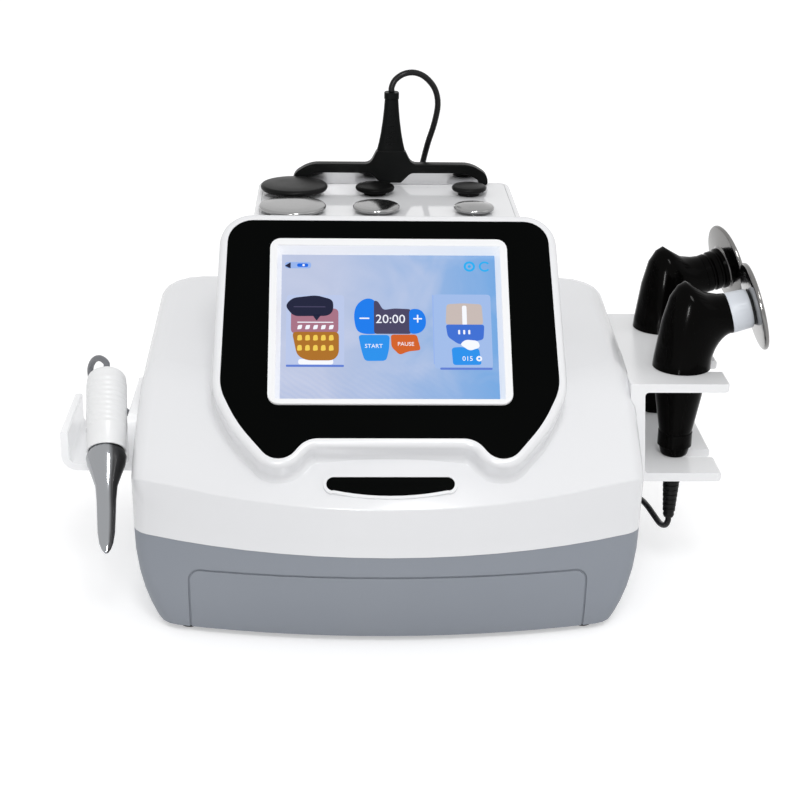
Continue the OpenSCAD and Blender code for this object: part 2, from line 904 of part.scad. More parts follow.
// Socket body turned about Y, standing on the panel with its mouth to the back.
module panel_socket(x) {
  translate([x, back_panel_y, fitting_z])
    rotate([-90, 0, 0])
      difference() {
        union() {
          cylinder(r = 9, h = 2.2);
          translate([0, 0, -13]) cylinder(r = 6.4, h = 14);
        }
        translate([0, 0, -10]) cylinder(r = 4.6, h = 20);
      }
}

module panel_sockets() {
  color("silver")
    for (x = concat(plug_xs, [spare_socket_x]))
      panel_socket(x);
}

module mains_inlet() {
  color("black")
    translate([inlet_x, back_panel_y, fitting_z])
      difference() {
        union() {
          along_y(0, 2.2)
            polygon(rounded(box_corners(25, -11.5, 11.5, 5)));
          along_y(-24, 0.5)
            polygon(rounded(box_corners(13.8, -10.2, 10.2, 3)));
        }
        along_y(-14, 5)
          polygon(rounded(box_corners(12.2, -8.6, 8.6, 3)));
      }
  color("silver")
    translate([inlet_x, back_panel_y - 16, fitting_z])
      for (p = [[-7, -2], [0, 2.4], [7, -2]])
        translate([p.x - 1, 0, p.y - 2])
          cube([2, 12, 4]);
}

module rocker_bezel() {
  color("black")
    translate([rocker_x, back_panel_y, fitting_z])
      difference() {
        union() {
          along_y(0, 1.8)
            polygon(rounded(box_corners(7.6, -11, 11, 1.5)));
          along_y(-14, 0.5)
            square([12.8, 19.2], center = true);
        }
        along_y(-12, 5)
          square([10.4, 16.8], center = true);
        translate([-8, -1.5, 0])
          rotate([0, 90, 0])
            cylinder(r = 1.55, h = 16);
      }
}

// Rocker with two faces that meet at a shallow angle over its pivot.
module mains_rocker() {
  color("darkred")
    translate([rocker_x, back_panel_y - 1.5, fitting_z]) {
      along_x(-4.9, 4.9)
        polygon(concat(
          [for (a = [98 : -6 : 74]) 8.1 * [cos(a), sin(a)]],
          [[3.6, 0.7]],
          [for (a = [-52 : -6 : -100]) 8.1 * [cos(a), sin(a)]],
          [[-3, -4], [-3, 4]]
        ));
      rotate([0, 90, 0])
        cylinder(r = 1.5, h = 12.4, center = true);
    }
}

module fan_frame() {
  color("black")
    translate([fan_x, back_panel_y - 2, fitting_z])
      difference() {
        along_y(-15, 0)
          polygon(rounded(box_corners(25, -25, 25, 3)));
        translate([0, -13, 0]) rotate([-90, 0, 0]) cylinder(r = 23.4, h = 20);
        difference() {
          translate([0, -20, 0]) rotate([-90, 0, 0]) cylinder(r = 23.4, h = 20);
          translate([0, -20, 0]) rotate([-90, 0, 0]) cylinder(r = 11, h = 20);
          for (a = [0 : 120 : 240])
            rotate([0, a, 0])
              translate([-2, -20, 0])
                cube([4, 20, 30]);
        }
        for (x = [-20.5, 20.5], z = [-20.5, 20.5])
          translate([x, -20, z]) rotate([-90, 0, 0]) cylinder(r = 2, h = 30);
      }
  color("black")
    translate([fan_x, back_panel_y - 15.2, fitting_z])
      rotate([-90, 0, 0])
        cylinder(r = 1.45, h = 7);
}

module fan_rotor() {
  color("dimgray")
    translate([fan_x, back_panel_y - 14.6, fitting_z])
      rotate([-90, 0, 0])
        difference() {
          union() {
            cylinder(r = 10.5, h = 10.5);
            for (i = [0 : 6])
              rotate([0, 0, i * 360 / 7])
                translate([9.5, 0, 0.6])
                  intersection() {
                    rotate([38, 0, 0])
                      translate([0, -0.7, 0])
                        cube([14, 1.4, 11.5]);
                    translate([-9.5, 0, -1])
                      cylinder(r = 22.6, h = 14);
                  }
          }
          translate([0, 0, -2]) cylinder(r = 1.5, h = 10);
          translate([-30, -30, -20]) cube([60, 60, 20.2]);
        }
}

module fan_guard() {
  color("silver")
    translate([fan_x, back_panel_y, fitting_z])
      rotate([-90, 0, 0]) {
        for (r = [6, 12, 18, 24])
          rotate_extrude()
            translate([r - 0.8, 0])
              square([1.6, 1.6]);
        for (a = [45 : 90 : 315])
          rotate([0, 0, a])
            difference() {
              translate([5.5, -0.8, 0]) cube([24.5, 1.6, 1.6]);
              translate([29, 0, -1]) cylinder(r = 1, h = 4, $fn = 12);
            }
      }
}

// Side view of the elbow: outer edge, inner edge and half depth, bottom to nose.
elbow = [
  [[-22.2, 0], [23.4, 0], 22.3], [[-21.6, 8], [23.5, 5], 22], [[-20, 19], [24, 10], 21.6],
  [[-17.4, 38], [26, 16], 20.6], [[-12.6, 57], [28.6, 20.5], 19.2],
  [[-7, 66], [31, 23.6], 18], [[-1.5, 69.3], [33.2, 25.8], 17.2],
  [[5.4, 65.2], [35, 27.2], 16.6], [[14, 60.2], [36.6, 28.2], 16.2],
  [[24, 58.8], [37.5, 28.3], 16], [nose_end + 16 * [-sin(nose_tilt), cos(nose_tilt)],
  nose_end - 16 * [-sin(nose_tilt), cos(nose_tilt)], 16]
];

// Handpiece shell, standing on its own axis with its foot on the upper shelf.
module elbow_shell() {
  loft([
    for (e = elbow)
      let (c = (e[0] + e[1]) / 2, d = (e[1] - e[0]) / 2)
      [
        for (i = [0 : 35])
          let (t = 10 * i)
          [c[0] + d[0] * cos(t), e[2] * sin(t), c[1] + d[1] * cos(t)]
      ]
  ]);
}

module at_front() {
  translate([hand_x, hand_y, shelf_z + gap])
    children();
}

module at_rear() {
  translate([hand_x, rear_y, shelf_z + gap])
    rotate([0, 0, rear_turn])
      children();
}

// Moves its children to the end of the nose, with Z along the nose.
module on_nose() {
  translate([nose_end.x, 0, nose_end.y])
    rotate([0, 90 - nose_tilt, 0])
      children();
}

module handpiece_shell() {
  difference() {
    elbow_shell();
    on_nose()
      translate([0, 0, -14])
        cylinder(r = 6.1, h = 20);
  }
}

module front_handpiece_shell() {
  color("black") at_front() handpiece_shell();
}

module rear_handpiece_shell() {
  color("black") at_rear() handpiece_shell();
}

// Tapered barrel below the shelf, with the step ring near its end.
module handpiece_stem() {
  h = shelf_z - low_shelf_z;
  rotate_extrude()
    polygon([
      [0, -h], [10, -h], [10.8, -h + 1], [12.4, -66.8], [13.6, -66.4],
      [13.6, -55], [13.1, -54.6], [18.4, -23.4], [20, -8], [20, 0], [0, 0]
    ]);
}

module front_handpiece_stem() {
  color("black") at_front() handpiece_stem();
}

module rear_handpiece_stem() {
  color("black") at_rear() handpiece_stem();
}

// Ribbed sleeve below the barrel; the lead leaves at its lower end.
module front_strain_relief() {
  top = low_shelf_z - shelf_z;
  len_r = 56.3;
  n = 9;
  color("black")
    at_front()
      rotate_extrude()
        polygon(concat(
          [[0, top], [7.4, top]],
          [
            for (i = [0 : n - 1])
              let (z = -16 - i * 4.2, r = 7.3 - 2.5 * i / n)
              each [[r, top + z + 1.4], [r, top + z - 1], [r - 0.9, top + z - 1.3],
                    [r - 0.9, top + z - 2.6]]
          ],
          [[4.6, top - len_r + 2], [3.8, top - len_r], [0, top - len_r]]
        ));
}

module front_head_collar() {
  color("white")
    at_front()
      on_nose()
        rotate_extrude()
          polygon([
            [0, -12], [5.4, -12], [6, -11.4], [6, gap], [15.6, gap], [16, 1.2],
            [15.4, 15], [14.6, 16.5], [0, 16.5]
          ]);
}

// Polished disc with a rounded rim; hub is the radius where it meets the collar.
module steel_disc(hub, back, bulge) {
  n = 8;
  rotate_extrude()
    polygon(concat(
      [[0, 0], [hub, 0], [hub + 1.5, 1.4]],
      [[disc_r - 6, back - 2.6]],
      [
        for (i = [0 : 5])
          let (a = -80 + 36 * i)
          [disc_r - 2 + 2 * cos(a), back + 2 * sin(a)]
      ],
      [
        for (i = [1 : n])
          let (r = (disc_r - 3) * (1 - i / n))
          [r, back + 2 + bulge * (1 - pow(r / (disc_r - 3), 2))]
      ]
    ));
}

module front_head_disc() {
  color("silver")
    at_front()
      on_nose()
        translate([0, 0, 16.5])
          steel_disc(13, 4.4, 2.2);
}

module rear_head_collar() {
  color("black")
    at_rear()
      on_nose()
        rotate_extrude()
          polygon([
            [0, -12], [5.4, -12], [6, -11.4], [6, gap], [15.8, gap], [16, 5],
            [15, 6], [15, 7.4], [16.4, 8.4], [16.4, 12], [15.4, 13], [15.4, 14.4],
            [17, 15.4], [17, 18], [0, 18]
          ]);
}

module rear_head_disc() {
  color("silver")
    at_rear()
      on_nose()
        translate([0, 0, 18])
          steel_disc(17, 5.4, 7);
}

// Moves its children to the blade handpiece: Z runs from its mouth to its tail.
module at_blade() {
  translate(mouth)
    rotate([0, 0, grip_turn])
      rotate([grip_tilt - 90, 0, 0])
        children();
}

module blade_grip() {
  first = 19;
  pitch = 4.4;
  color("white")
    at_blade()
      rotate_extrude()
        polygon(concat(
          [[0, 4], [13.9, 4], [13.9, 0], [grip_r - 0.3, 0], [grip_r, 1]],
          [
            for (i = [0 : grip_ribs - 1])
              let (z = first + i * pitch)
              each [[grip_r, z - 1.5], [grip_r + 0.5, z - 0.7], [grip_r + 0.5, z + 0.7],
                    [grip_r, z + 1.5]]
          ],
          [
            for (a = [0 : 15 : 75])
              [5 + (grip_r - 5) * cos(a), grip_l - 8.5 + 8.5 * sin(a)]
          ],
          [[4.6, grip_l], [0, grip_l]]
        ));
}

// Chrome blade: a round shoulder that thins into a tongue.
blade_sections = [
  [0, 1.2, 1.2], [3, 3.4, 2.2], [8, 5.2, 3], [17, 6.5, 3.6], [33, 7.1, 4],
  [44, 7.4, 4.7], [56, 8.4, 6.2], [66.5, 11.7, 9.3], [74, 14.3, 12.2],
  [81, 15.5, 14], [85, 13.7, 13.4], [90, 13.4, 13.2]
];

module blade() {
  color("silver")
    at_blade()
      translate([0, 0, -blade_l])
        loft([
          for (s = blade_sections)
            [for (i = [0 : 19]) [s[1] * cos(18 * i), s[2] * sin(18 * i), s[0]]]
        ]);
}

// The plate itself, whose upper edge stands inside the handle.
module plate_sheet() {
  x = plate_w / 2;
  translate([plate_x, 0, 0])
    along_y(plate_y - plate_t / 2, plate_y + plate_t / 2)
      polygon(rounded([
        [x, 306.5, 8], [-x, 306.5, 8], [-x, tray_z - plate_h + 5, 12],
        [x, tray_z - plate_h + 5, 12]
      ]));
}

module return_plate() {
  color("silver") plate_sheet();
}

// Front view of the handle, right half: hub, arm and the tip that turns down.
handle_half = [
  [8.5, 295, 3], [16.6, 303.2, 7], [62, 303.4, 14], [73, 297.8, 4], [73.4, 294, 1.2],
  [81, 293.6, 2], [81, 302, 10], [67, 310.8, 26], [17.2, 310.8, 7], [11.6, 322, 3]
];

module plate_handle() {
  color("black")
    difference() {
      translate([plate_x, 0, 0])
        along_y(plate_y - 5, plate_y + 5)
          polygon(rounded(both_sides(handle_half), 6));
      plate_sheet();
    }
}

// Half width and half depth of the neck above the hub, by height.
neck = [
  [322, 11.6, 5], [328, 10.1, 5], [336, 8.6, 5.1], [346, 7.2, 5.2], [356, 6.2, 5.3],
  [364.4, 5.6, 5.4], [365, 6.1, 6], [369.4, 6.1, 6], [370, 5.5, 5.4]
];

// Flattened neck with two rows of short ribs, which lets the lead bend.
module plate_strain_relief() {
  color("black")
    translate([plate_x, plate_y, 0]) {
      loft([
        for (s = neck)
          [
            for (i = [0 : 23])
              let (a = 15 * i, c = cos(a), d = sin(a))
              [s[1] * sign(c) * pow(abs(c), 0.6), s[2] * sign(d) * pow(abs(d), 0.6), s[0]]
          ]
      ]);
      for (i = [0 : 6], x = [-1, 1], y = [-1, 1])
        let (w = 2.6 - 0.1 * i)
        translate([x * (w / 2 + 0.7), y * 5.4, 328 + 4.6 * i])
          cube([w, 0.9, 1.5], center = true);
    }
}

// Tube of radius r round the points p, with n sides; its first and last points
// are the middles of its end faces, square to the first and last steps.
function frame_at(p, i) =
  let (
    k = len(p) - 1,
    a = p[max(0, i - 1)],
    b = p[min(k, i + 1)],
    t = unit(b - a),
    up = abs(t.z) > 0.95 ? [0, 1, 0] : [0, 0, 1],
    s = unit(cross(t, up)),
    v = cross(s, t)
  )
  [s, v];

function side_frames(p) =
  [
    for (
      i = 0, f = frame_at(p, 0);
      i < len(p);
      i = i + 1,
      f = i >= len(p) ? f : (
        let (
          k = len(p) - 1,
          t = unit(p[min(k, i + 1)] - p[max(0, i - 1)]),
          s = unit(f[0] - t * (f[0] * t))
        )
        [s, cross(s, t)]
      )
    ) f
  ];

module tube(p, r, n) {
  f = side_frames(p);
  loft([
    for (i = [0 : len(p) - 1])
      [
        for (j = [0 : n - 1])
          let (a = 360 * (j + 0.5) / n)
          p[i] + r * (f[i][0] * sin(a) + f[i][1] * cos(a))
      ]
  ]);
}

// Points of a coil that spirals in on the lower layer and out on the upper one.
// s is 1 for a counterclockwise coil that starts on its right side, and -1 for
// its mirror image. It ends on the other side, heading for the console.
function coil_points(s) =
  let (
    m = 24,
    n = coil_turns * m,
    mid = n / 2,
    core = [
      for (i = [0 : n])
        let (
          t = i / m,
          d = abs(i - mid) / m,
          r = coil_r - (mid / m - d) * turn_pitch,
          rise = min(1, max(0, 0.5 + (i - mid) / (m / 2))),
          a = 360 * t
        )
        [s * r * cos(a), r * sin(a), rise * turn_pitch]
    ]
  )
  concat([core[0] - [0, lead_d, 0]], core, [core[n] - [0, lead_d, 0]]);

// Least distance between turns, measured on the points less one diameter.
function coil_gap(s) =
  let (p = coil_points(s), k = len(p))
  min([
    for (i = [0 : k - 14], j = [i + 13 : k - 1])
      norm(p[i] - p[j])
  ]) - lead_d;

function route_length(p) =
  let (steps = [for (i = [1 : len(p) - 1]) norm(p[i] - p[i - 1])])
  steps * [for (s = steps) 1];

module lead_coil(i) {
  s = coil_xs[i] > 100 ? 1 : -1;
  echo(str("length of coil ", i, " is ", route_length(coil_points(s)), " mm"));
  echo(str("least gap in coil ", i, " is ", coil_gap(s), " mm"));
  color("dimgray")
    translate([coil_xs[i], coil_y, coil_z])
      tube(coil_points(s), lead_d / 2, 6);
}

// Last stretch of a lead, from the top of its coil up into its elbow plug.
function tail_route(i) =
  let (x = plug_xs[i], z = coil_z + turn_pitch)
  [
    [x, coil_y - lead_d, z], [x, 183, z + 0.3], [x, 176, z + 1.8], [x, 169.5, z + 6],
    [x, 165, z + 12], [x, 163, z + 18.5], [x, 163, fitting_z - 15]
  ];

module lead(p) {
  echo(str("length of this stretch is ", route_length(p), " mm"));
  color("dimgray")
    tube(p, lead_d / 2, 8);
}

module front_lead() { lead(front_route); }
module front_lead_coil() { lead_coil(2); }
module front_lead_tail() { lead(tail_route(2)); }
module plate_lead() { lead(plate_route); }
module plate_lead_coil() { lead_coil(1); }
module plate_lead_tail() { lead(tail_route(1)); }
module blade_lead() {
  lead(concat([grip_tail, grip_tail + 5 * grip_axis], left_route));
}
module blade_lead_coil() { lead_coil(0); }
module blade_lead_tail() { lead(tail_route(0)); }

// Elbow plug: a barrel in the socket and a sleeve that points down.
module elbow_plug(x) {
  translate([x, 0, fitting_z]) {
    translate([0, back_panel_y + 2.4, 0])
      rotate([-90, 0, 0]) {
        translate([0, 0, -11]) cylinder(r = 4.4, h = 12);
        cylinder(r = 8, h = 8);
        translate([0, 0, 8]) cylinder(r = 6.6, h = 17.6);
      }
    translate([0, 163, -15])
      rotate_extrude()
        polygon([[0, 0], [3.4, 0], [4.8, 9], [5.4, 10], [5.4, 15], [0, 15]]);
  }
}

module lead_plugs() {
  color("black")
    for (x = plug_xs)
      elbow_plug(x);
}

// Band round all the turns of a coil, at its far side.
module lead_ties() {
  mid = coil_turns / 2;
  r0 = coil_r - mid * turn_pitch - lead_d / 2 - 0.6;
  r1 = coil_r + lead_d / 2 + 0.6;
  top = coil_z + turn_pitch + lead_d / 2 + 0.5;
  color("black")
    for (x = coil_xs)
      translate([x, coil_y, 0])
        along_x(-3, 3)
          difference() {
            polygon(rounded([
              [r0 - 0.8, 0, 1.2], [r1 + 0.8, 0, 1.2], [r1 + 0.8, top + 0.8, 2],
              [r0 - 0.8, top + 0.8, 2]
            ]));
            polygon(rounded([
              [r0, 0.6, 0.8], [r1, 0.6, 0.8], [r1, top, 1.4], [r0, top, 1.4]
            ]));
          }
}

// Every sub-part is drawn about the middle of the console and moved as one.
module placed() {
  translate([console_x, 0, 0])
    children();
}

placed() base_shell();
placed() upper_shell();
placed() rear_panel();
placed() rubber_feet();
placed() front_panel();
placed() screen_frame();
placed() touch_screen();
placed() lcd_module();
placed() front_window();
placed() electrode_tray();
placed() plate_pocket();
placed() left_cradle();
placed() grip_rest();
placed() right_bracket();
placed() bracket_screws();
placed() housing_screws();
placed() chassis_plate();
placed() power_supply();
placed() rf_generator_board();
placed() main_board();
placed() mains_inlet();
placed() rocker_bezel();
placed() mains_rocker();
placed() panel_sockets();
placed() fan_frame();
placed() fan_rotor();
placed() fan_guard();
placed() front_handpiece_shell();
placed() front_handpiece_stem();
placed() front_strain_relief();
placed() front_head_collar();
placed() front_head_disc();
placed() rear_handpiece_shell();
placed() rear_handpiece_stem();
placed() rear_head_collar();
placed() rear_head_disc();
placed() steel_head_large();
placed() steel_head_medium();
placed() steel_head_small();
placed() black_head_large();
placed() black_head_medium();
placed() black_head_small();
placed() blade_grip();
placed() blade();
placed() return_plate();
placed() plate_handle();
placed() plate_strain_relief();
placed() front_lead();
placed() front_lead_coil();
placed() front_lead_tail();
placed() plate_lead();
placed() plate_lead_coil();
placed() plate_lead_tail();
placed() blade_lead();
placed() blade_lead_coil();
placed() blade_lead_tail();
placed() lead_plugs();
placed() lead_ties();
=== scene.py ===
import json
import math

import bmesh
import bpy
from mathutils import Matrix, Vector


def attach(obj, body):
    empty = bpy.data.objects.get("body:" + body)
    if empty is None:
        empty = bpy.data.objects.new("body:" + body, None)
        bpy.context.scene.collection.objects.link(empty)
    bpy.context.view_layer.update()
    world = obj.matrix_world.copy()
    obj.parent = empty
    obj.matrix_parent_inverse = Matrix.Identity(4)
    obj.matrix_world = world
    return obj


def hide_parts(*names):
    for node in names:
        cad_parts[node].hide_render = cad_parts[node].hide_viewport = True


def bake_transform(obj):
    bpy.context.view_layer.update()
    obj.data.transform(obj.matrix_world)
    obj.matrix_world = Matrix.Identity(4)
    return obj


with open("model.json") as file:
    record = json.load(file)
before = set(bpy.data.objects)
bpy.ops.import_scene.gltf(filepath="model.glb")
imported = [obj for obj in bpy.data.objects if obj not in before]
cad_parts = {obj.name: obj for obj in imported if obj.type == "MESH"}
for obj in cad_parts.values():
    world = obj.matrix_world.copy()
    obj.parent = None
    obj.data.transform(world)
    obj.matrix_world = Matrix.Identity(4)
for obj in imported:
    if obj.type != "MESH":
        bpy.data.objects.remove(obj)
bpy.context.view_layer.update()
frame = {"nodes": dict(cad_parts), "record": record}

# The console's middle stands this far from the middle of the whole object, in metres.
CX = -0.0245

# The glass leans back by this angle, and its middle lies here, in mm.
LEAN = math.radians(45.5)
SCREEN_Y, SCREEN_Z = -60.7, 228.5
OUT_OF_GLASS = Vector((0, -math.cos(LEAN), math.sin(LEAN)))

# The camera, fitted to the photograph: angles in radians, lens in mm, place in metres.
YAW, DOWN, ROLL = 0.0404, 0.3758, 0.0172
LENS, SENSOR = 76.3, 36
EYE = (-0.0397 + CX, -1.2646, 0.6448)
FAR_CLIP = 50


def add_camera():
    ahead = Vector((math.sin(YAW) * math.cos(DOWN), math.cos(YAW) * math.cos(DOWN), -math.sin(DOWN)))
    side = Vector((math.cos(YAW), -math.sin(YAW), 0))
    up = side.cross(ahead)
    right = math.cos(ROLL) * side + math.sin(ROLL) * up
    top = -math.sin(ROLL) * side + math.cos(ROLL) * up
    data = bpy.data.cameras.new("camera")
    data.lens = LENS
    data.sensor_width = SENSOR
    data.clip_end = FAR_CLIP
    cam = bpy.data.objects.new("camera", data)
    bpy.context.scene.collection.objects.link(cam)
    m = Matrix.Identity(4)
    for i in range(3):
        m[i][0], m[i][1], m[i][2] = right[i], top[i], -ahead[i]
    m.translation = EYE
    cam.matrix_world = m
    bpy.context.scene.camera = cam


add_camera()


# Materials
def material(name, color, rough, metal=0.0):
    m = bpy.data.materials.new(name)
    m.use_nodes = True
    bsdf = m.node_tree.nodes["Principled BSDF"]
    bsdf.inputs["Base Color"].default_value = (*color, 1)
    bsdf.inputs["Roughness"].default_value = rough
    bsdf.inputs["Metallic"].default_value = metal
    return m


def nodes_of(m):
    return m.node_tree.nodes, m.node_tree.links, m.node_tree.nodes["Principled BSDF"]


def coordinates(m, kind="Object"):
    """Object coordinates are the shared frame in metres; Normal is the surface normal in it."""
    return m.node_tree.nodes.new("ShaderNodeTexCoord").outputs[kind]


def noise_of(m, scale, detail):
    """Noise that lies fixed in the object; its Fac is mostly between 0.3 and 0.7."""
    nodes, links, _ = nodes_of(m)
    noise = nodes.new("ShaderNodeTexNoise")
    noise.inputs["Scale"].default_value = scale
    noise.inputs["Detail"].default_value = detail
    links.new(coordinates(m), noise.inputs["Vector"])
    return noise


def ranged(m, value, low, high, to_low=0.0, to_high=1.0):
    """The value, mapped from low..high to to_low..to_high and held there."""
    nodes, links, _ = nodes_of(m)
    span = nodes.new("ShaderNodeMapRange")
    span.inputs["From Min"].default_value = low
    span.inputs["From Max"].default_value = high
    span.inputs["To Min"].default_value = to_low
    span.inputs["To Max"].default_value = to_high
    links.new(value, span.inputs["Value"])
    return span.outputs["Result"]


def mixed(m, share, a, b):
    """Colour a where share is 0 and b where it is 1; each is a colour or a node's output."""
    nodes, links, _ = nodes_of(m)
    mix = nodes.new("ShaderNodeMix")
    mix.data_type = "RGBA"
    links.new(share, mix.inputs["Factor"])
    for socket, color in (("A", a), ("B", b)):
        if isinstance(color, tuple):
            mix.inputs[socket].default_value = (*color, 1)
        else:
            links.new(color, mix.inputs[socket])
    return mix.outputs["Result"]


def base_color(bsdf):
    return tuple(bsdf.inputs["Base Color"].default_value)[:3]


def grain(m, scale, bump, depth, spread, wide):
    """Fine grain from noise, depth in metres, and roughness that varies by spread at scale wide."""
    nodes, links, bsdf = nodes_of(m)
    b = nodes.new("ShaderNodeBump")
    b.inputs["Strength"].default_value = bump
    b.inputs["Distance"].default_value = depth
    links.new(noise_of(m, scale, 3).outputs["Fac"], b.inputs["Height"])
    links.new(b.outputs["Normal"], bsdf.inputs["Normal"])
    rough = bsdf.inputs["Roughness"].default_value
    worn = ranged(m, noise_of(m, wide, 4).outputs["Fac"], 0.3, 0.7,
                  max(0.02, rough - spread), rough + spread)
    links.new(worn, bsdf.inputs["Roughness"])
    return m


def tint(m, color, scale, amount):
    """Slow change of the base colour towards another one."""
    _, links, bsdf = nodes_of(m)
    share = ranged(m, noise_of(m, scale, 2).outputs["Fac"], 0.35, 0.65, 0, amount)
    links.new(mixed(m, share, base_color(bsdf), color), bsdf.inputs["Base Color"])


def painted_reflection_side(m, dark):
    """Polished metal with a painted reflection: its faces towards +X get a darker colour that stands in for
    a dark reflection.
    """
    nodes, links, bsdf = nodes_of(m)
    split = nodes.new("ShaderNodeSeparateXYZ")
    links.new(coordinates(m, "Normal"), split.inputs[0])
    share = ranged(m, split.outputs["X"], 0.2, 0.42)
    links.new(mixed(m, share, base_color(bsdf), dark), bsdf.inputs["Base Color"])


def painted_glow_slopes(m, flat, slope):
    """Painted light on the frame, which is no lamp: it glows weakly on the flat rim and more on what slopes
    down to the glass, standing in for the display's light on it.
    """
    nodes, links, bsdf = nodes_of(m)
    facing = nodes.new("ShaderNodeVectorMath")
    facing.operation = "DOT_PRODUCT"
    facing.inputs[1].default_value = OUT_OF_GLASS
    links.new(coordinates(m, "Normal"), facing.inputs[0])
    share = ranged(m, facing.outputs["Value"], 0.9, 0.5)
    links.new(mixed(m, share, (flat,) * 3, (slope,) * 3), bsdf.inputs["Emission Color"])
    bsdf.inputs["Emission Strength"].default_value = 1.0


def picture_look():
    """Pale blue picture with a brighter right side, soft clouds and fine slanted lines."""
    m = material("picture", (0.01, 0.012, 0.02), 0.12)
    nodes, links, bsdf = nodes_of(m)
    split = nodes.new("ShaderNodeSeparateXYZ")
    links.new(coordinates(m), split.inputs[0])
    side = ranged(m, split.outputs["X"], CX - 0.05, CX + 0.085)
    blue = mixed(m, side, (0.49, 0.55, 0.73), (0.16, 0.38, 0.74))
    cloud = noise_of(m, 18, 3)
    cloud.inputs["Distortion"].default_value = 1.2
    clouds = ranged(m, cloud.outputs["Fac"], 0.42, 0.75, 0, 0.5)
    white = mixed(m, clouds, blue, (0.60, 0.64, 0.80))
    wave = nodes.new("ShaderNodeTexWave")
    wave.inputs["Scale"].default_value = 90
    wave.inputs["Distortion"].default_value = 3
    wave.inputs["Detail"].default_value = 0
    wave.bands_direction = "DIAGONAL"
    links.new(coordinates(m), wave.inputs["Vector"])
    both = nodes.new("ShaderNodeMath")
    both.operation = "MULTIPLY"
    links.new(wave.outputs["Fac"], both.inputs[0])
    links.new(ranged(m, split.outputs["Z"], 0.212, 0.186, 0, 0.16), both.inputs[1])
    lines = mixed(m, both.outputs[0], white, (0.25, 0.38, 0.72))
    links.new(lines, bsdf.inputs["Emission Color"])
    bsdf.inputs["Emission Strength"].default_value = 1.0
    bsdf.inputs["Specular IOR Level"].default_value = 0.1
    return m


WHITE = (0.80, 0.805, 0.82)
RIM = (0.82, 0.825, 0.835)
